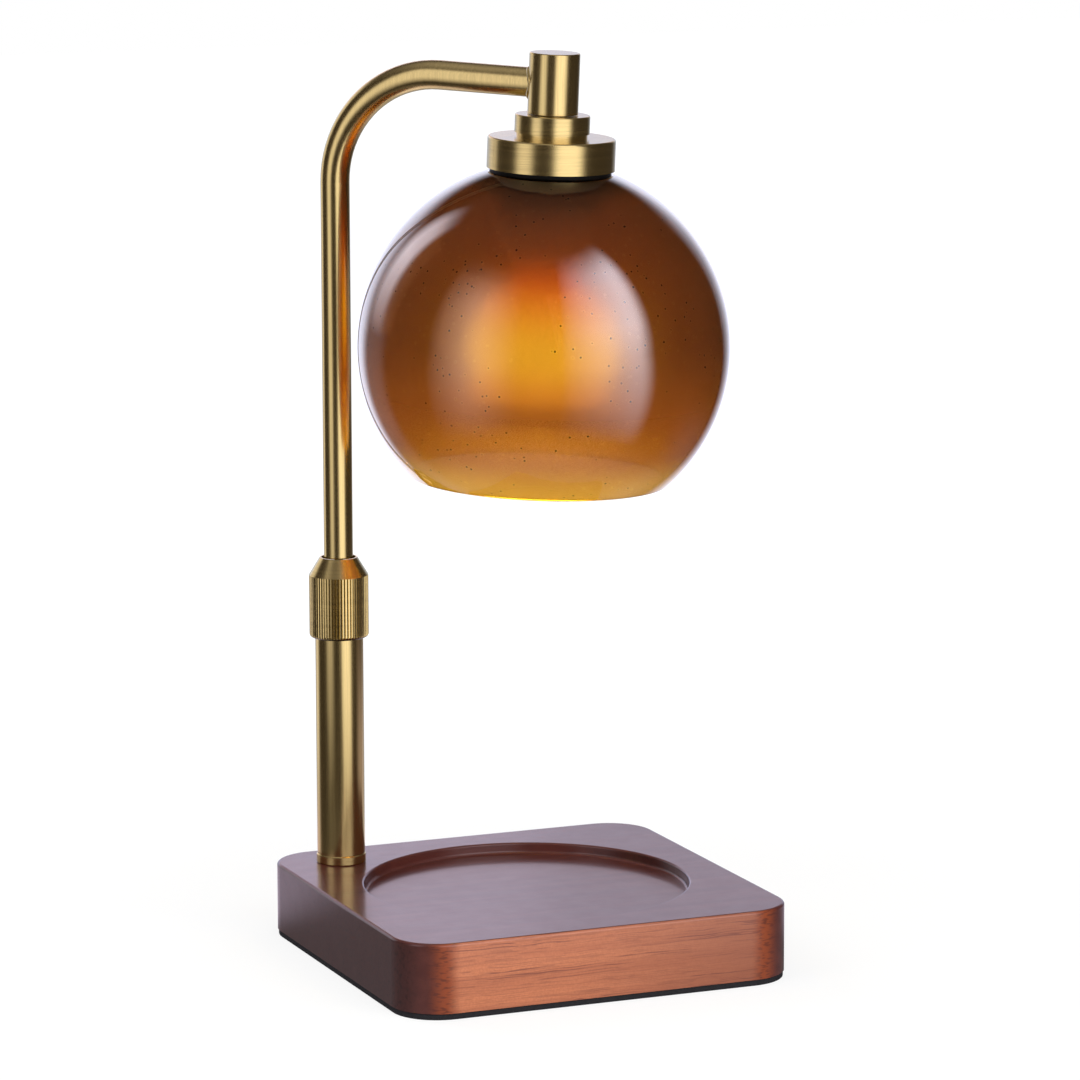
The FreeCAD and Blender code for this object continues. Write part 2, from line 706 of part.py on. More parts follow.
def make_collar():
    """The knurled nut: it screws onto the collet body and presses the thrust ring down."""
    body = new_body("collar", POST)
    seat_top = thrust_top + s.running_gap
    seat_low = seat_top - s.collar_seat_height
    profile = [(s.collar_bore_radius, collar_low)]
    profile += rounded_corner(s.collar_radius, collar_low, s.collar_foot_round, -1, 1, False)
    profile += [(s.collar_radius, collar_shoulder), (s.collar_top_radius, collar_top),
                (s.collar_hole_radius, collar_top), (s.collar_hole_radius, seat_top),
                (s.collar_ring_seat_radius, seat_top), (s.collar_ring_seat_radius, seat_low),
                (s.collar_bore_radius, seat_low - s.collar_bore_taper)]
    turn(body, [profile])
    groove = new_sketch(body, "XY_Plane", "knurl_groove", shift_z=collar_shoulder)
    bottom = s.collar_radius - s.knurl_depth
    mouth = s.collar_radius + s.knurl_depth
    draw(groove, [(bottom, ZERO), (mouth, -s.knurl_width), (mouth, s.knurl_width)])
    cut = pocket(body, groove)
    repeat_round(body, cut, s.knurl_count)


# ---------------------------------------------------------------- the arm

def make_guide_bush():
    turned_piece("guide_bush", POST, [tube_profile(bearing_radius, tube_inner - s.slide_clearance,
                                                   bush_low, bush_top)])
    on_tube = s.arm_radius + s.seat_clearance
    upper_low = upper_ring_top - s.bush_ring_thickness
    lower_top = lower_ring_low + s.bush_ring_thickness
    turned_piece("bush_rings", POST, [
        tube_profile(on_tube, s.bush_ring_radius, upper_low, upper_ring_top),
        tube_profile(on_tube, s.bush_ring_radius, lower_ring_low, lower_top)])


def arm_path(start_height, end_distance):
    """Up the post axis, round the bend and along the drooping arm, as distance out and height."""
    bend_turn = s.droop + 90
    arm_slope = sine(s.droop) / cosine(s.droop)
    bend_end_out = s.bend_radius * (1 - cosine(bend_turn))
    bend_end_z = s.arm_height - (bend_end_out - s.bend_radius) * arm_slope
    bend_start_z = bend_end_z - s.bend_radius * sine(bend_turn)
    end_out = s.bend_radius + end_distance * cosine(s.droop)
    end_z = s.arm_height - end_distance * sine(s.droop)
    return [(ZERO, start_height), (ZERO, bend_start_z),
            Arc(s.bend_radius, s.bend_radius, bend_start_z),
            (bend_end_out, bend_end_z), (end_out, end_z)]


def sweep(body, path_outline, start_height, radius, cut=False, aside=ZERO):
    """Sweep a circle up from the start of a path that lies aside of the body's XZ plane."""
    path = new_sketch(body, "XZ_Plane", f"{body.Label}_path", shift_z=aside)
    draw(path, path_outline, closed=False)
    section = new_sketch(body, "XY_Plane", f"{body.Label}_section",
                         shift_y=-aside, shift_z=start_height)
    draw_circle(section, 0, 0, radius)
    kind = "PartDesign::SubtractivePipe" if cut else "PartDesign::AdditivePipe"
    feature = body.newObject(kind, f"{body.Label}_{'bore' if cut else 'pipe'}")
    feature.Profile = section
    feature.Spine = (path, [])
    return feature


def make_arm_tube():
    body = new_body("arm_tube", POST)
    end = s.reach - s.bend_radius - (s.head_radius - s.head_wall)
    sweep(body, arm_path(arm_low, end), arm_low, s.arm_radius)
    sweep(body, arm_path(arm_low, end), arm_low, arm_inner, cut=True)


def make_head_tube():
    body = new_body("head_tube", HEAD)
    inner = s.head_radius - s.head_wall
    top_inside = s.head_above - s.head_wall
    profile = [(inner, head_low), (s.head_radius, head_low)]
    profile += rounded_corner(s.head_radius, s.head_above, s.head_edge_round, -1, -1, True)
    profile += [(ZERO, s.head_above), (ZERO, top_inside), (inner, top_inside)]
    turn(body, [profile])
    side_hole = new_sketch(body, "YZ_Plane", "arm_hole")
    draw_circle(side_hole, 0, 0, s.arm_radius + s.seat_clearance)
    pocket(body, side_hole)


def make_braze_joint():
    """A hollow fillet of braze where the arm meets the head tube."""
    body = new_body("braze_joint", HEAD)
    tube = s.arm_radius + s.seat_clearance
    wall = -(s.head_radius + s.seat_clearance)
    outer_end = wall - s.braze_width
    rim = tube + s.braze_width
    profile = [(outer_end, tube), Arc(s.braze_width, outer_end, rim), (wall, rim),
               (-s.head_wall, rim), (-s.head_wall, tube)]
    turn(body, [profile], axis="H_Axis")
    core = new_sketch(body, "XY_Plane", "head_clearance", shift_z=s.head_above)
    draw_circle(core, 0, 0, s.head_radius + s.seat_clearance)
    pocket(body, core)


def make_head_fittings():
    plug_top = head_low + s.head_plug_height
    turned_piece("head_plug", HEAD, [tube_profile(nipple_hole,
                                                  s.head_radius - s.head_wall - s.seat_clearance,
                                                  head_low, plug_top)])
    turned_piece("head_nipple", HEAD, [tube_profile(s.nipple_bore_radius, s.nipple_radius,
                                                    head_nipple_low,
                                                    head_nipple_low + s.head_nipple_length)])
    step = [(nipple_hole, cup_top), (s.step_neck_radius, cup_top),
            (s.step_neck_radius, step_shoulder), (s.step_radius, step_shoulder)]
    step += rounded_corner(s.step_radius, step_top, s.step_edge_round, -1, -1, True)
    step += [(nipple_hole, step_top)]
    turned_piece("step_ring", HEAD, [step])
    cup_inner = s.cup_radius - s.cup_wall
    cup = [(cup_inner, cup_low), (s.cup_radius, cup_low)]
    cup += rounded_corner(s.cup_radius, cup_top, s.cup_edge_round, -1, -1, True)
    cup += [(nipple_hole, cup_top), (nipple_hole, sleeve_top), (cup_inner, sleeve_top)]
    turned_piece("shade_cup", HEAD, [cup])
    turned_piece("head_washer", HEAD, [tube_profile(nipple_hole, s.head_washer_radius,
                                                    head_washer_low, sleeve_plate_low)])
    make_nut("head_nut", HEAD, head_nut_low)


# ---------------------------------------------------------------- the globe

def sphere_height(radius, at_radius):
    """Height over the globe's centre of a sphere, at a distance from the head's axis."""
    return root(radius * radius - at_radius * at_radius)


def make_glass_shade():
    body = new_body("glass_shade", HEAD)
    hole = s.globe_hole_radius
    rim = globe_centre - s.globe_rim_drop
    outer_rim = sphere_height(s.globe_radius, s.globe_rim_drop)
    inner_rim = sphere_height(globe_inner, s.globe_rim_drop)
    profile = [(hole, globe_centre + sphere_height(s.globe_radius, hole)),
               Arc(s.globe_radius, ZERO, globe_centre), (outer_rim, rim), (inner_rim, rim),
               Arc(globe_inner, ZERO, globe_centre),
               (hole, globe_centre + sphere_height(globe_inner, hole))]
    glass = turn(body, [profile])
    rim_level = rim.value + 0.01
    round_edges(body, glass, s.globe_rim_round, lambda edge: edge.BoundBox.ZMax < rim_level)


def make_globe_fittings():
    gasket_low = cup_low - s.gasket_below_cup
    inner = s.sleeve_radius + s.running_gap
    turned_piece("shade_gasket", HEAD, [tube_profile(inner, s.gasket_radius, gasket_low,
                                                     gasket_low + s.gasket_height)])
    glass_over_edge = globe_centre + sphere_height(globe_inner, s.shade_ring_radius)
    edge = glass_over_edge - s.shade_ring_gap
    high = edge + s.shade_ring_slope
    low = high - s.shade_ring_height
    bore = s.sleeve_radius + s.thread_clearance
    ring = [(bore, low), (s.shade_ring_radius, low), (s.shade_ring_radius, edge),
            (s.gasket_radius, high), (bore, high)]
    turned_piece("shade_ring", HEAD, [ring])


# ---------------------------------------------------------------- the lampholder

def make_holder_sleeve():
    body = new_body("holder_sleeve", HEAD)
    inner = s.sleeve_radius - s.sleeve_wall
    turn(body, [[(nipple_hole, sleeve_plate_low), (inner, sleeve_plate_low),
                 (inner, sleeve_top - s.sleeve_length),
                 (s.sleeve_radius, sleeve_top - s.sleeve_length),
                 (s.sleeve_radius, sleeve_top), (nipple_hole, sleeve_top)]])
    drill_screw_holes(body, sleeve_top)


def drill_screw_holes(body, top):
    holes = new_sketch(body, "XY_Plane", f"{body.Label}_screw_holes", shift_z=top)
    for x in (screw_x, -screw_x):
        draw_circle(holes, x, 0, s.holder_screw_radius + s.seat_clearance)
    pocket(body, holes)


def make_holder_cap():
    """The upper half of the block, with two bosses that stand under the sleeve's plate."""
    body = new_body("lampholder_cap", HEAD)
    turn(body, [tube_profile(s.holder_wire_hole, s.holder_radius, holder_split, holder_top)])
    bosses = new_sketch(body, "XY_Plane", "bosses", shift_z=holder_top)
    for x in (screw_x, -screw_x):
        draw_circle(bosses, x, 0, s.holder_boss_radius)
    pad(body, bosses, s.holder_standoff)
    drill_screw_holes(body, sleeve_plate_low)


def make_holder_body():
    """The lower half: room for the contacts and two curved slots for the bulb's pins."""
    body = new_body("lampholder_body", HEAD)
    turn(body, [[(ZERO, holder_low), (s.holder_radius, holder_low),
                 (s.holder_radius, holder_split), (s.holder_cavity_radius, holder_split),
                 (s.holder_cavity_radius, cavity_floor), (ZERO, cavity_floor)]])
    drill_screw_holes(body, holder_split)
    sinks = new_sketch(body, "XY_Plane", "screw_sinks", shift_z=holder_low)
    for x in (screw_x, -screw_x):
        draw_circle(sinks, x, 0, s.holder_screw_head_radius + s.running_gap)
    pocket(body, sinks, s.holder_screw_head_height + s.holder_screw_sink, reverse=True)
    slots = new_sketch(body, "XY_Plane", "pin_slots", shift_z=cavity_floor)
    for middle in (90, -90):
        draw(slots, pin_slot(middle - s.twist_angle, as_size(middle)))
    pocket(body, slots)


def pin_slot(first, last):
    """A curved slot with round ends, from one place of a pin to the other."""
    middle = s.pin_spacing / 2
    room = s.pin_head_radius + s.pin_room
    outer = middle + room
    inner = middle - room
    return [(outer * cosine(first), outer * sine(first)), Arc(outer, ZERO, ZERO),
            (outer * cosine(last), outer * sine(last)),
            Arc(room, middle * cosine(last), middle * sine(last), half_circle=True),
            (inner * cosine(last), inner * sine(last)), Arc(inner, ZERO, ZERO),
            (inner * cosine(first), inner * sine(first)),
            Arc(room, middle * cosine(first), middle * sine(first), half_circle=True)]


def make_holder_hardware():
    contacts = new_body("holder_contacts", HEAD)
    strips = new_sketch(contacts, "XY_Plane", "contact_strips", shift_z=cavity_floor)
    half = s.contact_width / 2
    far = s.contact_inner_edge + s.contact_length
    for near_y, far_y in ((s.contact_inner_edge, far), (-far, -s.contact_inner_edge)):
        draw(strips, [(-half, near_y), (half, near_y), (half, far_y), (-half, far_y)])
    pad(contacts, strips, s.contact_thickness)
    head_bottom = holder_low + s.holder_screw_sink
    head_top = head_bottom + s.holder_screw_head_height
    screw = [(ZERO, head_bottom), (s.holder_screw_head_radius, head_bottom),
             (s.holder_screw_head_radius, head_top), (s.holder_screw_radius, head_top),
             (s.holder_screw_radius, sleeve_plate_low + s.holder_screw_grip),
             (ZERO, sleeve_plate_low + s.holder_screw_grip)]
    screws = new_body("holder_screws", HEAD)
    turned = turn(screws, [screw], shift_x=screw_x)
    repeat_across(screws, turned, "YZ_Plane")


# ---------------------------------------------------------------- the leads

def lead_path(start_height):
    """The arm's own path, then a turn down into the head and down to the contacts."""
    to_turn = s.reach - s.bend_radius - s.lead_turn_radius
    straight = arm_path(start_height, to_turn)
    across = cosine(s.droop)
    fall = sine(s.droop)
    centre_out = straight[-1][0] - s.lead_turn_radius * fall
    centre_z = straight[-1][1] - s.lead_turn_radius * across
    turn_end_out = centre_out + s.lead_turn_radius * across
    turn_end_z = centre_z - s.lead_turn_radius * fall
    lead_end = -(cavity_floor + s.contact_thickness)
    down = lead_end - s.lead_turn_radius
    end_out = turn_end_out - down * fall
    end_z = turn_end_z - down * across
    return straight + [Arc(s.lead_turn_radius, centre_out, centre_z),
                       (turn_end_out, turn_end_z), (end_out, end_z)]


def make_leads():
    splice_low = arm_low + s.splice_above_tail
    splice_high = splice_low + s.splice_length
    leads = new_body("lead_wires", POST)
    pipe = sweep(leads, lead_path(splice_high), splice_high, s.lead_radius,
                 aside=s.lead_offset)
    repeat_across(leads, pipe, "XZ_Plane")
    splices = new_body("lead_splices", POST)
    outline = new_sketch(splices, "XY_Plane", "splice_outlines", shift_z=splice_low)
    for y in (s.lead_offset, -s.lead_offset):
        draw_circle(outline, 0, y, s.splice_radius)
    pad(splices, outline, s.splice_length)


# ---------------------------------------------------------------- the bulb

def make_bulb_glass():
    base_low = bulb_back - s.bulb_base_height
    rim_top = bulb_front + s.bulb_rim_height
    inner_neck = s.bulb_neck_radius - s.bulb_wall
    inner_rim = s.bulb_radius - s.bulb_wall
    turned_piece("bulb_base", HEAD, [[(ZERO, base_low), (s.bulb_neck_radius, base_low),
                                      (s.bulb_base_radius, bulb_back), (ZERO, bulb_back)]])
    reflector = [(s.bulb_neck_radius, base_low)]
    reflector += [bulge_arc(s.bulb_neck_radius, base_low, s.bulb_radius, rim_top)]
    reflector += [(s.bulb_radius, rim_top), (s.bulb_radius, bulb_front),
                  (inner_rim, bulb_front), (inner_rim, rim_top)]
    reflector += [bulge_arc(inner_neck, base_low, inner_rim, rim_top)]
    reflector += [(inner_neck, base_low)]
    turned_piece("bulb_reflector", HEAD, [reflector])
    lens_radius = inner_rim - s.seat_clearance
    lens_low = bulb_front + s.lens_setback
    turned_piece("bulb_lens", HEAD, [tube_profile(ZERO, lens_radius, lens_low,
                                                  lens_low + s.lens_thickness)])
    capsule_low = base_low - s.capsule_length
    dome = s.capsule_radius
    turned_piece("bulb_capsule", HEAD, [[(ZERO, base_low), (dome, base_low),
                                         (dome, capsule_low + dome),
                                         Arc(dome, ZERO, capsule_low + dome),
                                         (ZERO, capsule_low)]])


def bulge_arc(x1, y1, x2, y2):
    """The arc from one point to another that bellies outwards by the reflector's bulge."""
    across = x2 - x1
    along = y2 - y1
    chord = root(across * across + along * along)
    radius = chord * chord / (s.bulb_bulge * 8) + s.bulb_bulge / 2
    inward = (radius - s.bulb_bulge) / chord
    centre_x = (x1 + x2) / 2 + along * inward
    centre_y = (y1 + y2) / 2 - across * inward
    return Arc(radius, centre_x, centre_y)


def make_bulb_pins():
    body = new_body("bulb_pins", HEAD)
    shank = s.pin_length - s.pin_head_length
    add_pin_pair(body, "pin_shanks", s.pin_radius, bulb_back, shank)
    add_pin_pair(body, "pin_heads", s.pin_head_radius, bulb_back + shank, s.pin_head_length)


def add_pin_pair(body, name, radius, low, length):
    outline = new_sketch(body, "XY_Plane", name, shift_z=low)
    for y in (s.pin_spacing / 2, -s.pin_spacing / 2):
        draw_circle(outline, 0, y, radius)
    pad(body, outline, length)


# ---------------------------------------------------------------- build, check and write

def main():
    make_wood_base()
    make_base_pad()
    make_cord_grommet()
    make_foot_ring()
    make_post_fasteners()
    make_post()
    make_collet_body()
    make_collet()
    make_thrust_ring()
    make_collar()
    make_guide_bush()
    make_arm_tube()
    make_head_tube()
    make_braze_joint()
    make_head_fittings()
    make_glass_shade()
    make_globe_fittings()
    make_holder_sleeve()
    make_holder_cap()
    make_holder_body()
    make_holder_hardware()
    make_leads()
    make_bulb_glass()
    make_bulb_pins()
    doc.recompute()
    check_document()
    write_parts()


def check_document():
    for thing in doc.Objects:
        if "Invalid" in thing.State or "Error" in thing.State:
            raise RuntimeError(f"{thing.Label} failed to build")
    if len(nodes) > MAX_NODES:
        raise RuntimeError("too many nodes")
    for body in nodes:
        if body.Shape.isNull() or not body.Shape.isValid():
            raise RuntimeError(f"{body.Label} has no valid shape")


def write_parts():
    os.makedirs(PARTS_FOLDER, exist_ok=True)
    for body in nodes:
        shape = body.Shape
        shape.exportStep(f"{PARTS_FOLDER}/{body.Label}.step")
        print(f"{body.Label:18s} solids {len(shape.Solids)}  volume {shape.Volume:10.1f} mm3")


main()
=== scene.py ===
import json
import math

import bmesh
import bpy
from mathutils import Matrix, Vector


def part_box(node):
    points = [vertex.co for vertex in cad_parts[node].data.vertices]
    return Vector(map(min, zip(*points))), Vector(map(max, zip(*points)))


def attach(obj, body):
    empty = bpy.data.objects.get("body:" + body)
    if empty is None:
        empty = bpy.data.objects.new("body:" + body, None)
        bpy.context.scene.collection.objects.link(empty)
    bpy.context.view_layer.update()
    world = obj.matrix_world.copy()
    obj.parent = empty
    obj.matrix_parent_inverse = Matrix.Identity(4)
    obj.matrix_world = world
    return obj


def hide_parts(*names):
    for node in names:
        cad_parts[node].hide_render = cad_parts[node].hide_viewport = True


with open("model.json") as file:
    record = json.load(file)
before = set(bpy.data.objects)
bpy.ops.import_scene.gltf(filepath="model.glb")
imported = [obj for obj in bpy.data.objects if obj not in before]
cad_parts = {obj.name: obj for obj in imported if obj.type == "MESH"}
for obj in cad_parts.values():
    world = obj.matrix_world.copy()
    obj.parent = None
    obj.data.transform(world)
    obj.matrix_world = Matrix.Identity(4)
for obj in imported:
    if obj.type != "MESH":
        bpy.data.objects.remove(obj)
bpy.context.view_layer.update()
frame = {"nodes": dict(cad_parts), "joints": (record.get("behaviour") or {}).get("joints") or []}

MM = 0.001
BLACK = (0.0, 0.0, 0.0)
WHITE = (1.0, 1.0, 1.0)


# ---------------------------------------------------------------- node helpers

def feed(tree, socket, value):
    """Give an input another node's output, or a plain value."""
    if isinstance(value, bpy.types.NodeSocket):
        tree.links.new(value, socket)
    else:
        socket.default_value = value


def node(tree, kind, inputs=None, **settings):
    """Add a node with its settings, and feed its inputs, which go by number or by name."""
    made = tree.nodes.new(kind)
    for name, value in settings.items():
        setattr(made, name, value)
    for key, value in (inputs or {}).items():
        feed(tree, made.inputs[key], value)
    return made


def maths(tree, operation, first, second=0.0, clamp=False):
    return node(tree, "ShaderNodeMath", {0: first, 1: second},
                operation=operation, use_clamp=clamp).outputs[0]


def times(tree, first, second):
    return maths(tree, "MULTIPLY", first, second)


def plus(tree, first, second):
    return maths(tree, "ADD", first, second)


def vector_maths(tree, operation, first, second=(0, 0, 0), third=(0, 0, 0)):
    made = node(tree, "ShaderNodeVectorMath", {0: first, 1: second, 2: third},
                operation=operation)
    scalar = operation in ("DOT_PRODUCT", "LENGTH", "DISTANCE")
    return made.outputs["Value" if scalar else "Vector"]


def scaled(tree, vector, scale):
    return vector_maths(tree, "MULTIPLY", vector, scale)


def ramp(tree, value, low, high, at_low=0.0, at_high=1.0):
    """A smooth step of the value, from at_low at low to at_high at high."""
    return node(tree, "ShaderNodeMapRange", {0: value, 1: low, 2: high, 3: at_low, 4: at_high},
                interpolation_type="SMOOTHSTEP").outputs[0]


def rgba(colour):
    return (*colour, 1.0)


def dimmed(colour, level):
    return tuple(part * level for part in colour)


def blend_colours(tree, factor, first, second):
    """From the first colour to the second, each a node's output or (red, green, blue)."""
    first, second = (rgba(colour) if isinstance(colour, tuple) else colour
                     for colour in (first, second))
    return node(tree, "ShaderNodeMix", {0: factor, 6: first, 7: second},
                data_type="RGBA").outputs[2]


def noise(tree, vector, scale=1.0, detail=2.0, roughness=0.5):
    return node(tree, "ShaderNodeTexNoise", {"Vector": vector, "Scale": scale, "Detail": detail,
                                             "Roughness": roughness}).outputs["Fac"]


def separate(tree, vector):
    return node(tree, "ShaderNodeSeparateXYZ", {0: vector}).outputs


def object_place(tree):
    return node(tree, "ShaderNodeTexCoord").outputs["Object"]


def bump(tree, height, distance, strength):
    return node(tree, "ShaderNodeBump", {"Height": height, "Distance": distance,
                                         "Strength": strength}).outputs["Normal"]


def new_group(name, inputs, outputs):
    """A node group; inputs and outputs are (name, socket kind, value at the start)."""
    tree = bpy.data.node_groups.new(name, "ShaderNodeTree")
    for way, sockets in (("INPUT", inputs), ("OUTPUT", outputs)):
        for label, kind, start in sockets:
            socket = tree.interface.new_socket(label, in_out=way, socket_type=kind)
            if start is not None:
                socket.default_value = start
    source = tree.nodes.new("NodeGroupInput")
    result = tree.nodes.new("NodeGroupOutput")
    return tree, source.outputs, result.inputs


def use_group(tree, group, inputs):
    """Place a node group in a tree and feed its inputs, which go by name."""
    made = tree.nodes.new("ShaderNodeGroup")
    made.node_tree = group
    for name, value in inputs.items():
        feed(tree, made.inputs[name], value)
    return made.outputs


# ---------------------------------------------------------------- the studio

# the camera, in front of the lamp and a little above it: lengths in metres, its sensor and
# its lens in millimetres
CAMERA_AZIMUTH = math.radians(-22.556)
CAMERA_ELEVATION_DEGREES = 10.021
CAMERA_ROLL = math.radians(-0.139)
CAMERA_DISTANCE = 1.8425
CAMERA_TARGET = Vector((0.002284, -0.008034, 0.154863))
CAMERA_SENSOR = 36.0
CAMERA_LENS = 170.73

# the even light that falls on matt surfaces, and the level of the room where no panel lies
AMBIENT = 0.42
ROOM_LEVEL = 0.05

DAYLIGHT = (0.93, 0.90, 1.0)
ROOM_LIGHT = (1.0, 0.82, 0.74)
WALL_LIGHT = (0.93, 0.78, 1.0)
AMBER_BOUNCE = (1.0, 0.74, 0.64)
SKY_LIGHT = (0.82, 0.84, 1.0)
HORIZON_LIGHT = (0.42, 0.62, 1.05)

# what gloss shows of the studio. Each panel has the azimuths and the elevations at which it
# begins, is full, ends being full and ends, its brightness in brushed and in clear gloss, and
# its colour
PANEL_EDGES = ("begins", "full from", "full to", "ends")
PANELS = {
    "right_window": ((1, 13, 48, 66), (-50, -20, 34, 54), 1.45, 0.0, DAYLIGHT),
    "right_window_glare": ((11, 56, 60, 73), (-34, 16, 44, 66), 0.0, 6.2, DAYLIGHT),
    "left_window": ((-70, -58, -42, -28), (-26, -5, 32, 52), 1.0, 0.0, DAYLIGHT),
    "left_window_glare": ((-76, -50, -46, -12), (-34, -4, 26, 56), 0.0, 2.1, AMBER_BOUNCE),
    "left_rear_strip": ((-143, -134, -126, -117), (-2, 24, 34, 52), 0.0, 2.6, DAYLIGHT),
    "left_rear_wall": ((-150, -136, -122, -110), (-36, -20, 20, 36), 0.85, 0.2, DAYLIGHT),
    "left_rear_floor": ((-200, -170, -122, -104), (-70, -50, -40, -22), 0.75, 0.2, WALL_LIGHT),
    "right_rear_floor": ((92, 114, 150, 170), (-64, -50, -26, -12), 0.4, 0.1, WALL_LIGHT),
    "backdrop_left": ((-200, -190, -152, -136), (-70, -50, 14, 30), 0.42, 1.4, SKY_LIGHT),
    "backdrop_right": ((142, 166, 190, 200), (-70, -50, 14, 30), 0.42, 1.4, SKY_LIGHT),
    "horizon_left": ((-200, -190, -152, -136), (-6, 2, 8, 11), 0.85, 0.0, HORIZON_LIGHT),
    "horizon_right": ((142, 166, 190, 200), (-6, 2, 8, 11), 0.75, 0.0, HORIZON_LIGHT),
    "far_wall_left": ((-200, -190, -152, -136), (6, 11, 20, 32), 0.85, 0.0, WALL_LIGHT),
    "far_wall_right": ((142, 166, 190, 200), (6, 11, 20, 32), 0.45, 0.0, WALL_LIGHT),
    "ceiling": ((-300, -290, 290, 300), (36, 80, 100, 110), 0.40, 0.03, DAYLIGHT),
    "near_floor": ((-300, -290, 290, 300), (-110, -100, -50, -30), 0.12, 0.2, DAYLIGHT),
}

# the floor: its colour as it lights the lamp, how much of the lamp's shadow is shown, and how
# bright it is shown near the lamp and far from it. Its gloss is that seen from FLOOR_EYE above it
FLOOR_SIZE = 8.0
FLOOR_WHITE = 0.8
FLOOR_SHADOW_SHARE = 0.22
FLOOR_SHOWN_NEAR = 0.80
FLOOR_SHOWN_FAR = 1.0
FLOOR_NEAR = 0.15
FLOOR_FAR = 0.6
FLOOR_EYE = 0.15

# the lamps: azimuth, elevation, distance, width, height, power in watts
LAMPS = {
    "right_softbox": (36, 20, 1.15, 1.2, 1.1, 11.0),
    "left_softbox": (-52, 25, 1.1, 0.6, 0.9, 3.0),
    "rear_strip": (-122, 25, 1.1, 0.5, 0.8, 3.5),
    "overhead": (10, 82, 1.2, 0.9, 0.9, 2.0),
}
LAMP_AIM = Vector((0, 0, 0.14))


def compass(azimuth, elevation=0.0):
    """The direction at so many degrees to the right of the camera's side, and so many up."""
    turned = CAMERA_AZIMUTH + math.radians(azimuth)
    rise = math.radians(elevation)
    return Vector((math.sin(turned) * math.cos(rise), -math.cos(turned) * math.cos(rise),
                   math.sin(rise)))


def panel_group():
    """How much of a soft panel lies at an azimuth and an elevation: 1 on it, 0 beside it."""
    sockets = [("Azimuth", "NodeSocketFloat", None), ("Elevation", "NodeSocketFloat", None)]
    sockets += [(f"{way} {edge}", "NodeSocketFloat", None)
                for way in ("Azimuth", "Elevation") for edge in PANEL_EDGES]
    tree, source, result = new_group("soft_panel", sockets,
                                     [("Cover", "NodeSocketFloat", None)])
    covers = []
    for way in ("Azimuth", "Elevation"):
        begins, full_from, full_to, ends = (source[f"{way} {edge}"] for edge in PANEL_EDGES)
        rises = node(tree, "ShaderNodeMapRange", {0: source[way], 1: begins, 2: full_from})
        falls = ramp(tree, source[way], full_to, ends, 1.0, 0.0)
        covers.append(times(tree, rises.outputs[0], falls))
    feed(tree, result["Cover"], times(tree, *covers))
    return tree


def surround_group():
    """What the gloss of the lamp shows of the studio in each direction."""
    tree, source, result = new_group(
        "studio_surround", [("Direction", "NodeSocketVector", None)],
        [("Brushed", "NodeSocketColor", None), ("Clear", "NodeSocketColor", None)])
    unit = vector_maths(tree, "NORMALIZE", source["Direction"])
    ahead = vector_maths(tree, "DOT_PRODUCT", unit, compass(0))
    aside = vector_maths(tree, "DOT_PRODUCT", unit, compass(90))
    azimuth = maths(tree, "DEGREES", maths(tree, "ARCTAN2", aside, ahead))
    elevation = maths(tree, "DEGREES", maths(tree, "ARCSINE", separate(tree, unit)["Z"]))
    panel = panel_group()
    brushed = dimmed(ROOM_LIGHT, ROOM_LEVEL)
    clear = BLACK
    for azimuths, elevations, in_brushed, in_clear, tint in PANELS.values():
        inputs = {"Azimuth": azimuth, "Elevation": elevation}
        for way, degrees in (("Azimuth", azimuths), ("Elevation", elevations)):
            inputs.update({f"{way} {edge}": at for edge, at in zip(PANEL_EDGES, degrees)})
        cover = use_group(tree, panel, inputs)["Cover"]
        brushed = vector_maths(tree, "MULTIPLY_ADD", cover, dimmed(tint, in_brushed), brushed)
        clear = vector_maths(tree, "MULTIPLY_ADD", cover, dimmed(tint, in_clear), clear)
    feed(tree, result["Brushed"], brushed)
    feed(tree, result["Clear"], clear)
    return tree


def gloss_light(tree, surround, direction, rays):
    """The surround's light for the ray at hand, brushed or clear."""
    levels = use_group(tree, surround, {"Direction": direction})
    return blend_colours(tree, rays["Is Singular Ray"], levels["Brushed"], levels["Clear"])


def seen_as_backdrop(tree, rays):
    """1 where the studio itself is looked at, straight or through the glass."""
    return maths(tree, "MAXIMUM", rays["Is Camera Ray"], rays["Is Transmission Ray"])


def make_world(surround):
    """The world is seen white, lights the lamp evenly, and shows the panels in gloss."""
    world = bpy.data.worlds.new("studio")
    bpy.context.scene.world = world
    world.use_nodes = True
    tree = world.node_tree
    tree.nodes.clear()
    direction = node(tree, "ShaderNodeTexCoord").outputs["Generated"]
    rays = node(tree, "ShaderNodeLightPath").outputs
    gloss = gloss_light(tree, surround, direction, rays)
    colour = blend_colours(tree, rays["Is Glossy Ray"], (AMBIENT,) * 3, gloss)
    colour = blend_colours(tree, seen_as_backdrop(tree, rays), colour, WHITE)
    background = node(tree, "ShaderNodeBackground", {"Color": colour})
    node(tree, "ShaderNodeOutputWorld", {0: background.outputs[0]})


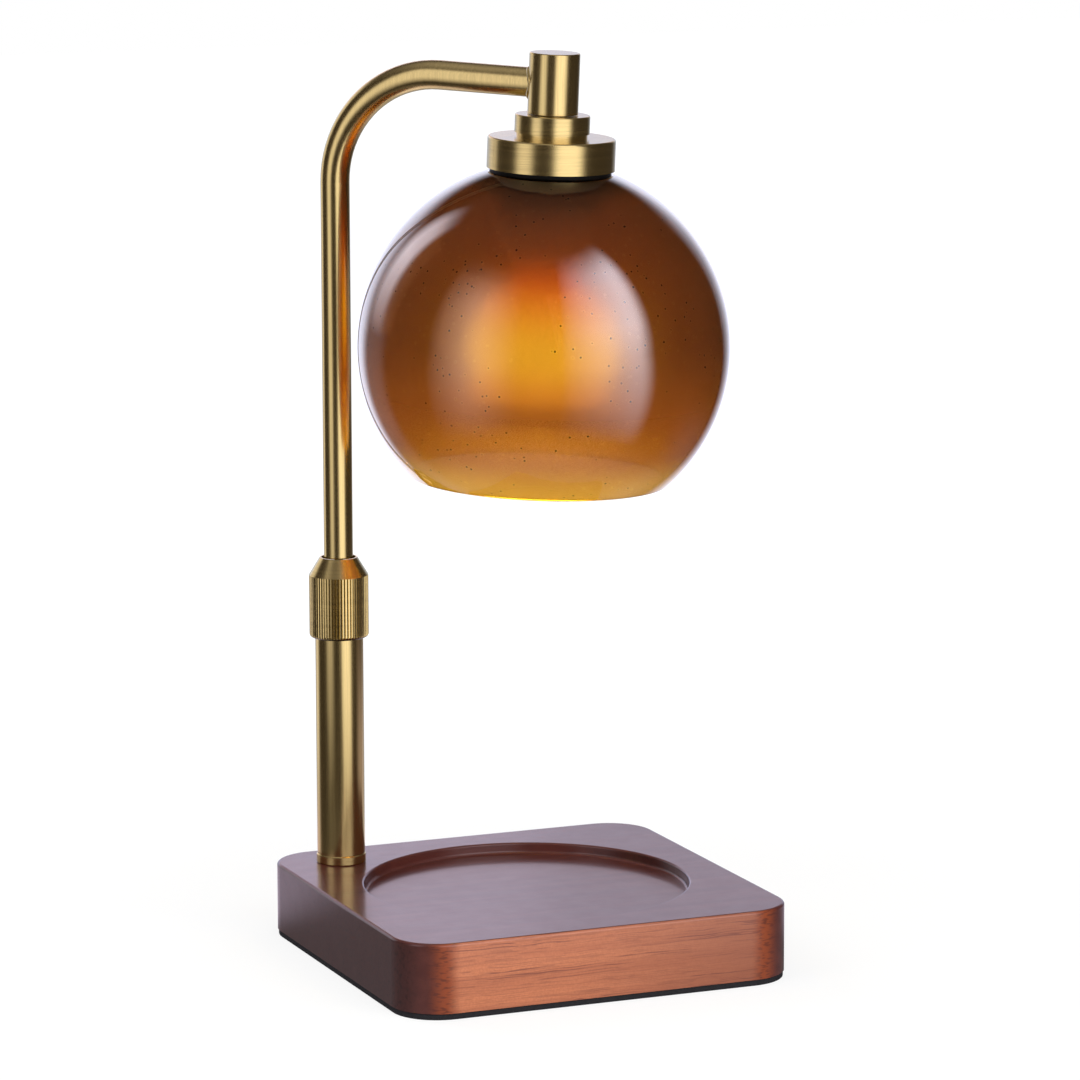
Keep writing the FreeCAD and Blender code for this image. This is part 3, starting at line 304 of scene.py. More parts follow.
def make_floor(surround):
    """The floor is seen white with the lamp's shadow, and shows the panels in gloss."""
    bpy.ops.mesh.primitive_plane_add(size=FLOOR_SIZE)
    floor = bpy.context.object
    floor.name = "studio_floor"
    material = bpy.data.materials.new("studio_floor")
    material.use_nodes = True
    tree = material.node_tree
    tree.nodes.clear()
    rays = node(tree, "ShaderNodeLightPath").outputs
    place = object_place(tree)
    direction = vector_maths(tree, "SUBTRACT", place, (0, 0, FLOOR_EYE))
    gloss = node(tree, "ShaderNodeEmission",
                 {"Color": gloss_light(tree, surround, direction, rays)})
    matt = node(tree, "ShaderNodeBsdfDiffuse", {"Color": rgba((FLOOR_WHITE,) * 3)})
    shadow = node(tree, "ShaderNodeBsdfDiffuse", {"Color": rgba((FLOOR_SHADOW_SHARE,) * 3)})
    shown_level = ramp(tree, vector_maths(tree, "LENGTH", place), FLOOR_NEAR, FLOOR_FAR,
                       FLOOR_SHOWN_NEAR, FLOOR_SHOWN_FAR)
    glow = node(tree, "ShaderNodeEmission", {"Color": rgba(WHITE), "Strength": shown_level})
    shown = node(tree, "ShaderNodeAddShader", {0: shadow.outputs[0], 1: glow.outputs[0]})
    unseen = node(tree, "ShaderNodeMixShader", {0: rays["Is Glossy Ray"], 1: matt.outputs[0],
                                                2: gloss.outputs[0]})
    surface = node(tree, "ShaderNodeMixShader", {0: seen_as_backdrop(tree, rays),
                                                 1: unseen.outputs[0], 2: shown.outputs[0]})
    node(tree, "ShaderNodeOutputMaterial", {0: surface.outputs[0]})
    floor.data.materials.append(material)


def make_lamps():
    for name, (azimuth, elevation, distance, width, height, power) in LAMPS.items():
        data = bpy.data.lights.new(name, "AREA")
        data.shape = "RECTANGLE"
        data.size = width
        data.size_y = height
        data.energy = power
        lamp = bpy.data.objects.new(name, data)
        towards = compass(azimuth, elevation)
        lamp.location = LAMP_AIM + towards * distance
        lamp.rotation_euler = towards.to_track_quat("Z", "Y").to_euler()
        lamp.visible_glossy = False
        lamp.visible_camera = False
        bpy.context.scene.collection.objects.link(lamp)


def make_camera():
    data = bpy.data.cameras.new("camera")
    data.sensor_width = CAMERA_SENSOR
    data.lens = CAMERA_LENS
    camera = bpy.data.objects.new("camera", data)
    back = compass(0, CAMERA_ELEVATION_DEGREES)
    right = compass(90)
    up = back.cross(right)
    turn = Matrix((right, up, back)).transposed().to_4x4() @ Matrix.Rotation(CAMERA_ROLL, 4, "Z")
    camera.matrix_world = Matrix.Translation(CAMERA_TARGET + back * CAMERA_DISTANCE) @ turn
    bpy.context.scene.collection.objects.link(camera)
    bpy.context.scene.camera = camera


def make_studio():
    surround = surround_group()
    make_world(surround)
    make_floor(surround)
    make_lamps()
    make_camera()
    bpy.context.scene.view_settings.view_transform = "Standard"


# ---------------------------------------------------------------- finishes

def new_material(name, **values):
    """A material with one Principled shader, whose plain values are set by name."""
    material = bpy.data.materials.new(name)
    material.use_nodes = True
    tree = material.node_tree
    shader = tree.nodes["Principled BSDF"]
    for key, value in values.items():
        shader.inputs[key.replace("_", " ")].default_value = value
    return material, tree, shader.inputs


# how closely brushed lines lie along each axis, in lines a metre
UPRIGHT_LINES = (2200, 2200, 30)
TURNED_LINES = (40, 40, 3200)
PLAIN_LINES = (60, 60, 1500)

BRASS_COLOUR = (0.87, 0.668, 0.27)
BRASS_DULLED = 0.8
BRASS_ROUGHNESS = 0.21
PLAIN_ROUGHNESS = 0.35
LINE_ROUGHNESS = 0.12
CLOUD_ROUGHNESS = 0.04
BRUSHING_DEPTH = 0.02 * MM
BRUSHING_STRENGTH = 0.4


def brushing_group():
    """Fine brushed lines and faint clouds, such as a maker's brush leaves on metal."""
    tree, source, result = new_group(
        "brushing",
        [("Place", "NodeSocketVector", None), ("Scale", "NodeSocketVector", (40, 40, 3000)),
         ("Clouding", "NodeSocketFloat", 60.0)],
        [("Lines", "NodeSocketFloat", None), ("Clouds", "NodeSocketFloat", None)])
    stretched = scaled(tree, source["Place"], source["Scale"])
    fine = noise(tree, stretched, 1.0, 3.0, 0.6)
    coarse = noise(tree, stretched, 0.3, 2.0, 0.5)
    feed(tree, result["Lines"], plus(tree, times(tree, fine, 0.65), times(tree, coarse, 0.35)))
    feed(tree, result["Clouds"], noise(tree, source["Place"], source["Clouding"], 3.0, 0.6))
    return tree


def brass_and_nodes(name, brushing, lines, roughness=BRASS_ROUGHNESS):
    """Brushed brass, with its tree, its shader's inputs, the place node and its colour."""
    material, tree, shader = new_material(name, Metallic=1.0, Coat_Weight=0.16,
                                          Coat_Roughness=0.07)
    place = object_place(tree)
    brushed = use_group(tree, brushing, {"Place": place, "Scale": lines})
    shine = blend_colours(tree, ramp(tree, brushed["Lines"], 0.3, 0.7),
                          dimmed(BRASS_COLOUR, BRASS_DULLED), BRASS_COLOUR)
    feed(tree, shader["Base Color"], shine)
    rough = plus(tree, times(tree, brushed["Lines"], LINE_ROUGHNESS),
                 roughness - LINE_ROUGHNESS / 2)
    rough = plus(tree, rough, times(tree, brushed["Clouds"], CLOUD_ROUGHNESS))
    feed(tree, shader["Roughness"], rough)
    feed(tree, shader["Normal"],
         bump(tree, brushed["Lines"], BRUSHING_DEPTH, BRUSHING_STRENGTH))
    return material, tree, shader, place, shine


def brass(*given, **options):
    return brass_and_nodes(*given, **options)[0]


COLLAR_LOW, COLLAR_HIGH = (Vector(corner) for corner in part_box("collar"))
COLLAR_RADIUS = (COLLAR_HIGH.x - COLLAR_LOW.x) / 2
POST_AXIS = ((COLLAR_LOW.x + COLLAR_HIGH.x) / 2, (COLLAR_LOW.y + COLLAR_HIGH.y) / 2, 0)
CONE_HEIGHT = 6.6 * MM
KNURL_TOP = COLLAR_HIGH.z - CONE_HEIGHT
KNURL_DEPTH = 0.4 * MM
KNURL_WORN = 0.06 * MM
# the knurl's grooves are painted dark, a painted shade: the height over which it fades out under
# the cone, and its colour
GROOVE_SHADE_FADE = 0.1 * MM
GROOVE_SHADE_COLOUR = (0.035, 0.022, 0.008)


def knurled_brass(brushing):
    """Turned brass whose knurl grooves are painted dark, a painted shade where the grooves take
    little light.
    """
    material, tree, shader, place, shine = brass_and_nodes("brass_knurled", brushing,
                                                           TURNED_LINES)
    # painted shade in the knurl's grooves, below the cone
    spoke = scaled(tree, vector_maths(tree, "SUBTRACT", place, POST_AXIS), (1, 1, 0))
    in_groove = ramp(tree, vector_maths(tree, "LENGTH", spoke), COLLAR_RADIUS - KNURL_DEPTH,
                     COLLAR_RADIUS - KNURL_WORN, 1.0, 0.0)
    below_cone = ramp(tree, separate(tree, place)["Z"], KNURL_TOP - GROOVE_SHADE_FADE, KNURL_TOP,
                      1.0, 0.0)
    groove_shade = times(tree, in_groove, below_cone)
    feed(tree, shader["Base Color"], blend_colours(tree, groove_shade, shine, GROOVE_SHADE_COLOUR))
    return material


# the board: the radius of its recess, and half the flat of an edge between its round corners
RECESS_RADIUS = 59.3 * MM
FLAT_HALF = 57.6 * MM

# the grain's features a metre. The pores, the fine lines, the dashes on the corners and the
# rings of the end grain have two numbers, along the grain and across it
GRAIN_WAVES = (14, 30, 30)
GRAIN_CROWDS = (9, 150, 150)
GRAIN_BANDS = (5, 210, 210)
PORES = (22, 1900)
FINE_LINES = (40, 3200)
CORNER_DASHES = (300, 1250)
END_RINGS = (1, 700)
WAVE_REACH = (0, 1.2 * MM, 1.2 * MM)
RAGGED_REACH = 1.6 * MM

# on the long faces the wood is painted with a sheen: a brighter red that stands in for the finish's
# highlight under the right lamp, and it darkens along X as that painted sheen fades
SHEEN_LIT_COLOURS = ((0.51, 0.168, 0.076), (0.57, 0.195, 0.090))
SHEEN_LIT_BAND = (0.36, 0.105, 0.052)
SHEEN_FADED = (0.24, 0.075, 0.042)
SHEEN_LIT_PORE = (0.15, 0.044, 0.032)
SHEEN_FADES_FROM, SHEEN_FADES_TO = -30 * MM, 66 * MM
# the round corners: the grain's dashes on a painted half sheen, between the painted sheen of the
# long faces and the dark end grain
CORNER_COLOURS = ((0.25, 0.048, 0.012), (0.13, 0.026, 0.010))
STAIN_COLOURS = ((0.078, 0.018, 0.014), (0.100, 0.025, 0.019))
STAIN_PORE = (0.04, 0.010, 0.008)
END_GRAIN_COLOURS = ((0.050, 0.013, 0.011), (0.030, 0.008, 0.007))


def streaks(tree, place, along, across, low, high):
    """Thin dark lines that run along X: how closely they lie along it and across it."""
    lines = noise(tree, scaled(tree, place, (along, across, across)), 1.0, 1.5, 0.5)
    return ramp(tree, lines, low, high)


def wood_grain(tree, place):
    """The wavy place on the board, the grain's dark lines there, and its broad bands."""
    wavy = node(tree, "ShaderNodeTexNoise", {"Vector": scaled(tree, place, GRAIN_WAVES),
                                             "Detail": 1.0}).outputs["Color"]
    warped = vector_maths(tree, "ADD", place, scaled(tree, wavy, WAVE_REACH))
    crowd = noise(tree, scaled(tree, warped, GRAIN_CROWDS), 1.0, 2.0, 0.5)
    pores = times(tree, streaks(tree, warped, *PORES, 0.54, 0.66),
                  ramp(tree, crowd, 0.40, 0.60, 0.15, 1.0))
    fine = times(tree, streaks(tree, warped, *FINE_LINES, 0.50, 0.66), 0.32)
    lines = maths(tree, "MAXIMUM", times(tree, pores, 0.72), fine)
    bands = noise(tree, scaled(tree, warped, GRAIN_BANDS), 1.0, 2.0, 0.5)
    return warped, lines, bands


def sheen_lit_wood(tree, place, lines, bands):
    """The painted sheen of the long faces: a brighter red for the finish's highlight, fading darker
    along X.
    """
    grit = noise(tree, place, 1500.0, 1.0, 0.5)
    along = separate(tree, place)["X"]
    colour = blend_colours(tree, ramp(tree, grit, 0.3, 0.7), *SHEEN_LIT_COLOURS)
    colour = blend_colours(tree, ramp(tree, bands, 0.35, 0.65, 0.0, 0.42), colour, SHEEN_LIT_BAND)
    # the painted sheen darkens along X, a painted fall-off of the lamp's highlight
    colour = blend_colours(tree, ramp(tree, along, SHEEN_FADES_FROM, SHEEN_FADES_TO, 0.0, 0.74), colour,
                           SHEEN_FADED)
    return blend_colours(tree, lines, colour, SHEEN_LIT_PORE)


def dark_wood(tree, place, facing_x, lines, bands):
    """The stained colour where no sheen is painted, with end grain on the faces that look along X.
    """
    colour = blend_colours(tree, ramp(tree, bands, 0.3, 0.7), *STAIN_COLOURS)
    colour = blend_colours(tree, times(tree, lines, 0.4), colour, STAIN_PORE)
    rings = streaks(tree, scaled(tree, place, (0, 1, 1)), *END_RINGS, 0.5, 0.7)
    end_grain = blend_colours(tree, rings, *END_GRAIN_COLOURS)
    return blend_colours(tree, ramp(tree, facing_x, 0.6, 0.95), colour, end_grain)


def stained_wood():
    """Board with its grain along X, stained dark all over, with a painted sheen on its long faces
    and a painted half sheen on its round corners.
    """
    material, tree, shader = new_material("stained_wood", Coat_Weight=0.66,
                                          Coat_Roughness=0.13)
    place = object_place(tree)
    normal = node(tree, "ShaderNodeTexCoord").outputs["Normal"]
    facing = separate(tree, vector_maths(tree, "ABSOLUTE", normal))
    aside = separate(tree, vector_maths(tree, "ABSOLUTE", place))
    warped, lines, bands = wood_grain(tree, place)
    mottle = noise(tree, place, 120.0, 3.0, 0.6)
    sheen_lit = sheen_lit_wood(tree, place, lines, bands)
    dark = dark_wood(tree, place, facing["X"], lines, bands)
    dashes = streaks(tree, scaled(tree, warped, (1, 0, 1)), *CORNER_DASHES, 0.50, 0.62)
    corner = blend_colours(tree, dashes, *CORNER_COLOURS)

    # the painted sheen covers the flat of each long face, and a painted half sheen the round
    # corners, both with ragged edges
    ragged = times(tree, plus(tree, bands, mottle), RAGGED_REACH)
    reach = plus(tree, aside["X"], ragged)
    on_corner = ramp(tree, reach, FLAT_HALF + 5.0 * MM, FLAT_HALF + 12.0 * MM, 1.0, 0.0)
    on_flat = ramp(tree, reach, FLAT_HALF - 1.0 * MM, FLAT_HALF + 5.0 * MM, 1.0, 0.0)
    long_edge = blend_colours(tree, on_corner, dark, corner)
    long_edge = blend_colours(tree, on_flat, long_edge, sheen_lit)
    on_edge = times(tree, ramp(tree, aside["Y"], RECESS_RADIUS + 1 * MM, RECESS_RADIUS + 3 * MM),
                    ramp(tree, facing["Y"], 0.35, 0.62))
    feed(tree, shader["Base Color"], blend_colours(tree, on_edge, dark, long_edge))
    feed(tree, shader["Roughness"], ramp(tree, mottle, 0.3, 0.7, 0.37, 0.40))
    feed(tree, shader["Normal"], bump(tree, times(tree, lines, -1.0), 0.03 * MM, 0.4))
    return material


FOAM_CELLS = 2600.0
FOAM_PIT = (0.006, 0.006, 0.007)
FOAM_SKIN = (0.020, 0.019, 0.022)


def foam():
    """Black foam with fine open cells."""
    material, tree, shader = new_material("foam_pad")
    cells = node(tree, "ShaderNodeTexVoronoi", {"Vector": object_place(tree),
                                                "Scale": FOAM_CELLS})
    cell = cells.outputs["Distance"]
    feed(tree, shader["Base Color"],
         blend_colours(tree, ramp(tree, cell, 0.1, 0.6), FOAM_PIT, FOAM_SKIN))
    feed(tree, shader["Roughness"], ramp(tree, cell, 0.0, 0.6, 0.75, 0.95))
    feed(tree, shader["Normal"], bump(tree, cell, 0.1 * MM, 0.6))
    return material


def smooth_finish(name, colour, variation, roughness, metallic=0.0, scale=220.0, **values):
    """A plain maker's finish with a little unevenness in its colour, gloss and surface."""
    material, tree, shader = new_material(name, Metallic=metallic, **values)
    uneven = noise(tree, object_place(tree), scale, 4.0, 0.6)
    feed(tree, shader["Base Color"],
         blend_colours(tree, uneven, dimmed(colour, 1 - variation), colour))
    feed(tree, shader["Roughness"],
         ramp(tree, uneven, 0.2, 0.8, roughness * 0.85, roughness * 1.15))
    feed(tree, shader["Normal"], bump(tree, uneven, 0.02 * MM, 0.4))
    return material


# ---------------------------------------------------------------- the globe and the bulb

# the head's axis runs down through the bulb. The head point is where the arm's axis meets it
HEAD_TO_BULB = 62.6 * MM
HEAD_TO_GLOBE = 94.46 * MM
TWIST = next(joint for joint in frame["joints"] if joint["name"] == "bulb_twist")
HEAD_DOWN = Vector(TWIST["axis"]).normalized()
BULB_BACK = Vector(TWIST["pos_m"])
HEAD_POINT = BULB_BACK - HEAD_DOWN * HEAD_TO_BULB
GLOBE_CENTRE = HEAD_POINT + HEAD_DOWN * HEAD_TO_GLOBE
GLOBE_RADIUS = 66.93 * MM
GLOBE_WALL = 2.5 * MM

GLASS_TINTS = ((0.30, 0.118, 0.045), (0.35, 0.140, 0.056))
SEED_COLOUR = (0.004, 0.002, 0.001)
# the paler ring round each seed is a painted glint
SEED_GLINT_COLOUR = (0.85, 0.5, 0.2)

# depths below the globe's centre between which its inner face changes: its haze, and a painted glow
# of the bulb's light that rises, turns yellow and fades at the foot
HAZE_THINS = (8 * MM, 32 * MM)
GLOW_RISES = (-8 * MM, 24 * MM)
GLOW_YELLOWS = (31 * MM, 46 * MM)
GLOW_FADES = (46.6 * MM, 47.6 * MM)
GLASS_GLOWS = ((0.18, 0.076, 0.004), (0.66, 0.62, 0.012))

# depths below the bulb's back between which its reflector and its base change
BULB_MIDDLE = (2 * MM, 30 * MM)
BULB_BRIGHTENS = (-2 * MM, 26 * MM)
BULB_RIM = (34 * MM, 50 * MM)
BASE_REDDENS = (-2 * MM, 11 * MM)
NECK_GLOW = (1.0, 0.26, 0.04)
MIDDLE_GLOW = (1.0, 1.25, 0.14)
RIM_GLOW = (1.0, 0.8, 0.15)
BASE_GLOWS = ((0.08, 0.01, 0.0), (1.7, 0.36, 0.05))
LENS_GLOWS = ((0.80, 1.0, 0.10), (0.95, 1.0, 0.18))
LENS_STRENGTH = 24.0


def depth_below(tree, point):
    """How far a place on the head lies below a point, along the head's axis."""
    away = vector_maths(tree, "SUBTRACT", object_place(tree), point)
    return vector_maths(tree, "DOT_PRODUCT", away, HEAD_DOWN)


def seeds_group():
    """Tiny air bubbles in blown glass: dark specks, each with a paler ring that is a painted glint.
    """
    tree, source, result = new_group(
        "seeds", [("Place", "NodeSocketVector", None), ("Scale", "NodeSocketFloat", 300.0),
                  ("Size", "NodeSocketFloat", 0.17)],
        [("Speck", "NodeSocketFloat", None), ("Ring", "NodeSocketFloat", None)])
    cells = node(tree, "ShaderNodeTexVoronoi", {"Vector": source["Place"],
                                                "Scale": source["Scale"]})
    away = cells.outputs["Distance"]
    crowd = ramp(tree, noise(tree, source["Place"], 38.0, 2.0), 0.43, 0.61, 0.04, 0.75)
    kept = maths(tree, "LESS_THAN", separate(tree, cells.outputs["Color"])["X"], crowd)
    half = times(tree, source["Size"], 0.5)
    speck = times(tree, ramp(tree, away, half, source["Size"], 1.0, 0.0), kept)
    outer = times(tree, source["Size"], 1.7)
    ring = times(tree, ramp(tree, away, source["Size"], outer, 1.0, 0.0), kept)
    feed(tree, result["Speck"], speck)
    feed(tree, result["Ring"], maths(tree, "SUBTRACT", ring, speck, clamp=True))
    return tree


def amber_glass():
    """The wall's tint is split over its two faces; the inner face is hazed, the outer one clear.
    Low in the globe the inner face carries a painted glow, the bulb's light in the haze.
    """
    material, tree, shader = new_material("amber_glass", Transmission_Weight=1.0, IOR=1.5,
                                          Coat_Roughness=0.0, Coat_Weight=1.0,
                                          Emission_Strength=1.0)
    place = object_place(tree)
    clouds = noise(tree, place, 45.0, 3.0, 0.55)
    seeds = use_group(tree, seeds_group(), {"Place": place})
    colour = blend_colours(tree, clouds, *GLASS_TINTS)
    colour = blend_colours(tree, seeds["Speck"], colour, SEED_COLOUR)
    # a painted glint round each seed
    colour = blend_colours(tree, times(tree, seeds["Ring"], 0.12), colour, SEED_GLINT_COLOUR)
    feed(tree, shader["Base Color"], colour)

    inner_face = ramp(tree, vector_maths(tree, "DISTANCE", place, GLOBE_CENTRE),
                      GLOBE_RADIUS - GLOBE_WALL, GLOBE_RADIUS - GLOBE_WALL / 2, 1.0, 0.0)
    depth = depth_below(tree, GLOBE_CENTRE)
    grain = noise(tree, place, 9000.0, 0.0)
    clearest = ramp(tree, depth, *HAZE_THINS, 0.34, 0.07)
    haze = ramp(tree, grain, 0.44, 0.56, clearest, 0.68)
    feed(tree, shader["Roughness"], times(tree, inner_face, haze))

    # a painted glow on the inner face, standing in for the bulb's light scattered in the haze
    painted_glow = times(tree, inner_face, ramp(tree, depth, *GLOW_RISES))
    painted_glow = times(tree, painted_glow, ramp(tree, depth, *GLOW_FADES, 1.0, 0.1))
    glow = blend_colours(tree, ramp(tree, depth, *GLOW_YELLOWS), *GLASS_GLOWS)
    feed(tree, shader["Emission Color"], blend_colours(tree, painted_glow, BLACK, glow))
    return material


def mottled(tree, colour):
    """A colour that is a little darker in places."""
    return blend_colours(tree, noise(tree, object_place(tree), 300.0), colour,
                         dimmed(colour, 0.8))


def bulb_glow():
    """The reflector leaks the lamp's warm light: red at its neck, yellow in its middle."""
    material, tree, shader = new_material("bulb_glow", Roughness=0.4, Emission_Strength=1.0)
    depth = depth_below(tree, BULB_BACK)
    rim = ramp(tree, depth, *BULB_RIM)
    colour = blend_colours(tree, ramp(tree, depth, *BULB_MIDDLE), NECK_GLOW, MIDDLE_GLOW)
    colour = blend_colours(tree, rim, colour, RIM_GLOW)
    level = maths(tree, "SUBTRACT", ramp(tree, depth, *BULB_BRIGHTENS, 1.9, 2.7), rim)
    feed(tree, shader["Emission Color"], scaled(tree, colour, level))
    feed(tree, shader["Base Color"], mottled(tree, (0.9, 0.7, 0.4)))
    return material


def lit_ceramic():
    """The bulb's ceramic base, lit red from below by the light that leaks past the reflector."""
    material, tree, shader = new_material("lit_ceramic", Roughness=0.4, Emission_Strength=1.0)
    reddened = ramp(tree, depth_below(tree, BULB_BACK), *BASE_REDDENS)
    feed(tree, shader["Emission Color"], blend_colours(tree, reddened, *BASE_GLOWS))
    feed(tree, shader["Base Color"], mottled(tree, (0.80, 0.77, 0.70)))
    return material


def bulb_light():
    """The front of the bulb, where its light leaves."""
    material, tree, shader = new_material("bulb_light", Roughness=0.5,
                                          Emission_Strength=LENS_STRENGTH)
    ripple = noise(tree, object_place(tree), 500.0)
    feed(tree, shader["Emission Color"], blend_colours(tree, ripple, *LENS_GLOWS))
    feed(tree, shader["Base Color"], mottled(tree, (0.9, 0.85, 0.75)))
    return material


# ---------------------------------------------------------------- pieces made here

def only_edges(test):
    """Select the edges of the mesh in edit mode that pass a test, and no others."""
    bpy.ops.mesh.select_mode(type="EDGE")
    bpy.ops.mesh.select_all(action="DESELECT")
    mesh = bmesh.from_edit_mesh(bpy.context.object.data)
    for edge in filter(test, mesh.edges):
        edge.select_set(True)
    bmesh.update_edit_mesh(bpy.context.object.data)


def in_edit_mode(shape):
    bpy.ops.object.mode_set(mode="EDIT")
    shape()
    bpy.ops.object.mode_set(mode="OBJECT")


def finish_piece(name, *modifiers, angle=40):
    """Apply modifiers, given as (kind, settings), and put the piece's place in its mesh."""
    piece = bpy.context.object
    piece.name = name
    piece.data.name = name
    bpy.ops.object.transform_apply(location=True, rotation=True, scale=True)
    for kind, settings in modifiers:
        modifier = piece.modifiers.new(kind.lower(), kind)
        for key, value in settings.items():
            setattr(modifier, key, value)
        bpy.ops.object.modifier_apply(modifier=modifier.name)
    bpy.ops.object.shade_smooth_by_angle(angle=math.radians(angle))
    return piece


# the globe's foot, as a depth below its centre, the radius of its neck, and its rounded rims
FOOT_DEPTH = 48.1 * MM
NECK_RADIUS = 21.9 * MM
RIM_ROUND = 1.0 * MM


def blown_globe():
    """A blown glass ball, cut open at its foot and at the neck that the cup holds."""
    bpy.ops.object.select_all(action="DESELECT")
    bpy.ops.mesh.primitive_uv_sphere_add(segments=128, ring_count=96, radius=GLOBE_RADIUS,
                                         location=GLOBE_CENTRE,
                                         rotation=(-HEAD_DOWN).to_track_quat("Z", "Y").to_euler())
    bpy.ops.object.transform_apply(location=False, rotation=True, scale=True)
    neck_depth = -math.sqrt(GLOBE_RADIUS ** 2 - NECK_RADIUS ** 2)

    def cut_open():
        for depth, is_foot in ((FOOT_DEPTH, True), (neck_depth, False)):
            bpy.ops.mesh.select_all(action="SELECT")
            bpy.ops.mesh.bisect(plane_co=GLOBE_CENTRE + HEAD_DOWN * depth, plane_no=HEAD_DOWN,
                                clear_outer=is_foot, clear_inner=not is_foot)

    in_edit_mode(cut_open)
    return finish_piece(
        "glass_globe",
        ("SOLIDIFY", {"thickness": GLOBE_WALL, "offset": -1.0}),
        ("BEVEL", {"width": RIM_ROUND, "segments": 5, "angle_limit": math.radians(50)}))


# the foam: its corners, its soft edges, how uneven its cut sides are, the size of that
# unevenness, how near a flat face a point still belongs to it, and the length past which an
# edge is cut up
PAD_CORNER = 17.0 * MM
PAD_EDGE = 0.35 * MM
PAD_UNEVEN = 0.22 * MM
PAD_WAVES = 3 * MM
PAD_FLAT = 0.01 * MM
PAD_LONG = 50 * MM


def foam_sheet():
    """The foam under the base, cut with a knife: its edges are soft and a little uneven."""
    low, high = (Vector(corner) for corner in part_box("base_pad"))
    bpy.ops.object.select_all(action="DESELECT")
    bpy.ops.mesh.primitive_cube_add(size=1, location=(low + high) / 2)
    sheet = bpy.context.object
    sheet.scale = high - low
    bpy.ops.object.transform_apply(location=False, rotation=False, scale=True)

    def rise(edge):
        return abs(edge.verts[0].co.z - edge.verts[1].co.z)

    def cut_sheet():
        only_edges(lambda edge: rise(edge) > MM)
        bpy.ops.mesh.bevel(offset=PAD_CORNER, segments=14)
        only_edges(lambda edge: rise(edge) < PAD_EDGE)
        bpy.ops.mesh.bevel(offset=PAD_EDGE, segments=3)
        only_edges(lambda edge: edge.calc_length() > PAD_LONG)
        bpy.ops.mesh.subdivide(number_cuts=60)

    in_edit_mode(cut_sheet)
    sides = sheet.vertex_groups.new(name="sides")
    sides.add([vert.index for vert in sheet.data.vertices
               if low.z + PAD_FLAT < vert.co.z < high.z - PAD_FLAT], 1.0, "REPLACE")
    clouds = bpy.data.textures.new("foam_unevenness", "CLOUDS")
    clouds.noise_scale = PAD_WAVES
    return finish_piece("foam_pad", ("DISPLACE", {"texture": clouds, "strength": PAD_UNEVEN,
                                                  "mid_level": 0.5, "vertex_group": "sides"}))


ARM_RADIUS = 5.32 * MM
HEAD_RADIUS = 9.06 * MM
BEAD_RADIUS = 1.0 * MM


def bead_size(turn):
    """How thick the bead is at a turn round the arm, as a share of its radius."""
    return 0.66 + 0.20 * math.sin(3 * turn + 1) + 0.12 * math.sin(7 * turn)


def braze_bead():
    """The run of braze between the arm and the head tube, thicker and thinner by turns."""
    up = -HEAD_DOWN
    along = Vector((up.x, up.y, 0)).normalized()
    along = (along - up * along.dot(up)).normalized()
    bpy.ops.object.select_all(action="DESELECT")
    bpy.ops.mesh.primitive_torus_add(major_segments=96, minor_segments=14,
                                     major_radius=ARM_RADIUS, minor_radius=BEAD_RADIUS)

    def lay_bead():
        mesh = bmesh.from_edit_mesh(bpy.context.object.data)
        for vert in mesh.verts:
            turn = math.atan2(vert.co.y, vert.co.x)
            size = bead_size(turn)
            out = ARM_RADIUS + (math.hypot(vert.co.x, vert.co.y) - ARM_RADIUS) * size
            wall = math.sqrt(HEAD_RADIUS ** 2 - (ARM_RADIUS * math.cos(turn)) ** 2)
            vert.co = (out * math.cos(turn), out * math.sin(turn), vert.co.z * size - wall)

    in_edit_mode(lay_bead)
    turned = Matrix((up.cross(along), up, along)).transposed().to_4x4()
    bpy.context.object.matrix_world = Matrix.Translation(HEAD_POINT) @ turned
    return finish_piece("braze_bead", angle=80)


def fit_pieces(upright_brass):
    pad = foam_sheet()
    pad.data.materials.append(foam())
    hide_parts("base_pad")
    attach(pad, "base")
    bead = braze_bead()
    bead.data.materials.append(upright_brass)
    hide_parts("braze_joint")
    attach(bead, "arm")


def fit_globe():
    globe = blown_globe()
    globe.data.materials.append(amber_glass())
    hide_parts("glass_shade")
    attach(globe, "arm")


# ---------------------------------------------------------------- which piece wears what

RUBBER_COLOUR = (0.007, 0.006, 0.006)
STEEL_COLOUR = (0.62, 0.62, 0.60)
NYLON_COLOUR = (0.80, 0.77, 0.68)
PLASTIC_COLOUR = (0.02, 0.02, 0.02)
CERAMIC_COLOUR = (0.80, 0.77, 0.70)
SLEEVE_COLOUR = (0.70, 0.66, 0.58)


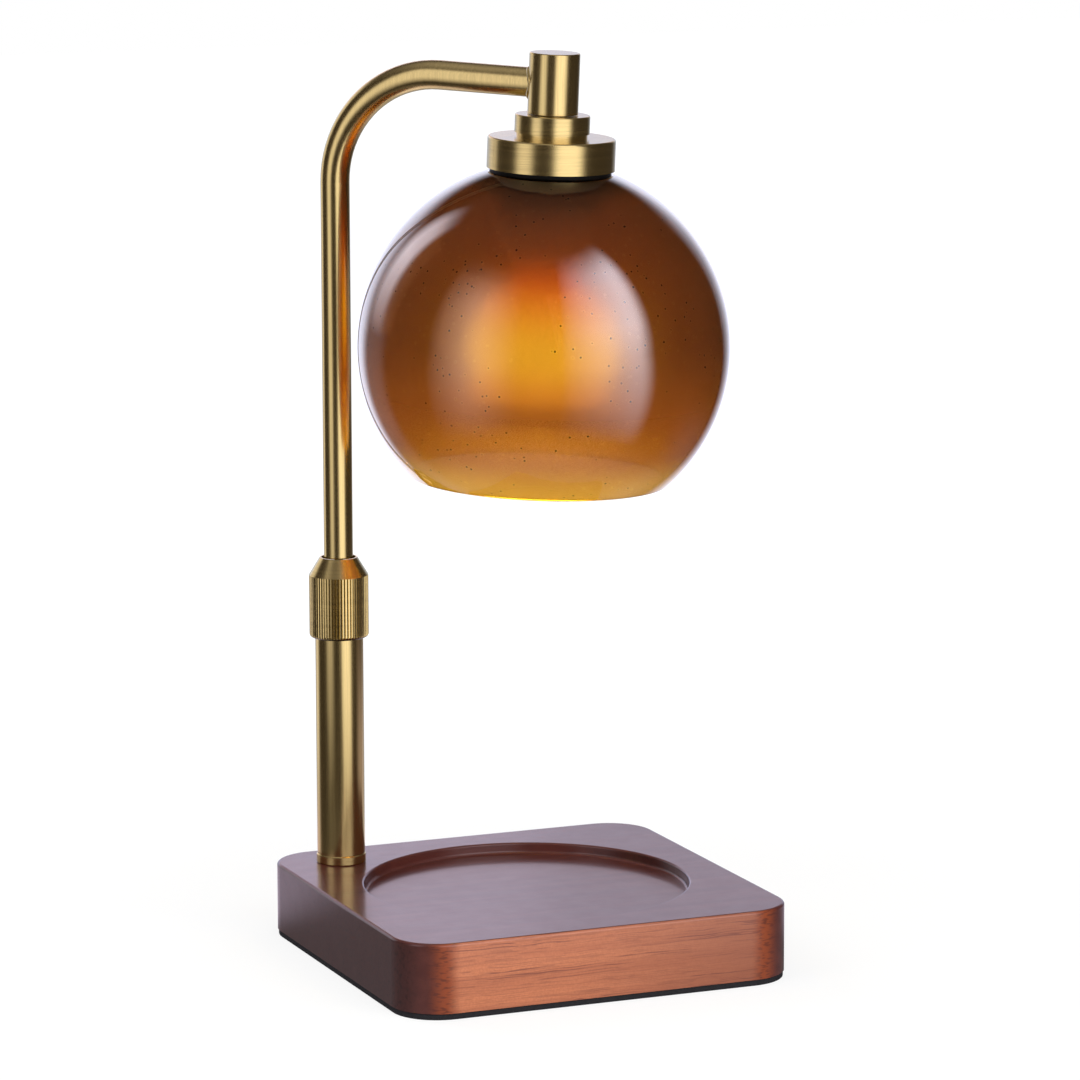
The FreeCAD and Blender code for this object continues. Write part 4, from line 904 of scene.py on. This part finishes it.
def dress(material, *names):
    for name in names:
        for slot in frame["nodes"][name].material_slots:
            slot.material = material


def dress_lamp():
    """Give each CAD node its finish, and return the brass of the upright tubes."""
    brushing = brushing_group()
    upright = brass("brass_upright", brushing, UPRIGHT_LINES)
    dress(upright, "arm_tube", "lower_tube", "head_tube")
    dress(brass("brass_turned", brushing, TURNED_LINES), "foot_ring", "step_ring", "shade_cup")
    dress(knurled_brass(brushing), "collar")
    dress(brass("brass_plain", brushing, PLAIN_LINES, roughness=PLAIN_ROUGHNESS), "post_nipple",
          "nipple_nut", "post_plug", "collet_body", "thrust_ring", "head_plug", "head_nipple",
          "head_nut", "holder_contacts")
    dress(stained_wood(), "wood_base")
    dress(smooth_finish("black_rubber", RUBBER_COLOUR, 0.3, 0.45, Specular_IOR_Level=0.08),
          "shade_gasket", "cord_grommet")
    dress(smooth_finish("zinc_steel", STEEL_COLOUR, 0.2, 0.35, metallic=1.0), "nipple_washer",
          "lock_washer", "bush_rings", "head_washer", "holder_screws", "lead_splices",
          "bulb_pins")
    dress(smooth_finish("nylon", NYLON_COLOUR, 0.1, 0.45), "collet", "guide_bush")
    dress(smooth_finish("black_plastic", PLASTIC_COLOUR, 0.3, 0.4), "shade_ring",
          "holder_sleeve")
    dress(smooth_finish("ceramic", CERAMIC_COLOUR, 0.08, 0.25), "lampholder_cap",
          "lampholder_body")
    dress(lit_ceramic(), "bulb_base")
    dress(smooth_finish("lead_sleeve", SLEEVE_COLOUR, 0.2, 0.7, scale=900.0), "lead_wires")
    dress(bulb_glow(), "bulb_reflector")
    dress(bulb_light(), "bulb_lens", "bulb_capsule")
    return upright


def quieten_reflections():
    """Keep the lit bulb from flaring in the brass and on the wood, and the arm out of gloss."""
    for name in ("bulb_lens", "bulb_capsule"):
        frame["nodes"][name].visible_diffuse = False
    for name in ("bulb_lens", "bulb_capsule", "bulb_reflector", "arm_tube"):
        frame["nodes"][name].visible_glossy = False


make_studio()
fit_pieces(dress_lamp())
quieten_reflections()
fit_globe()
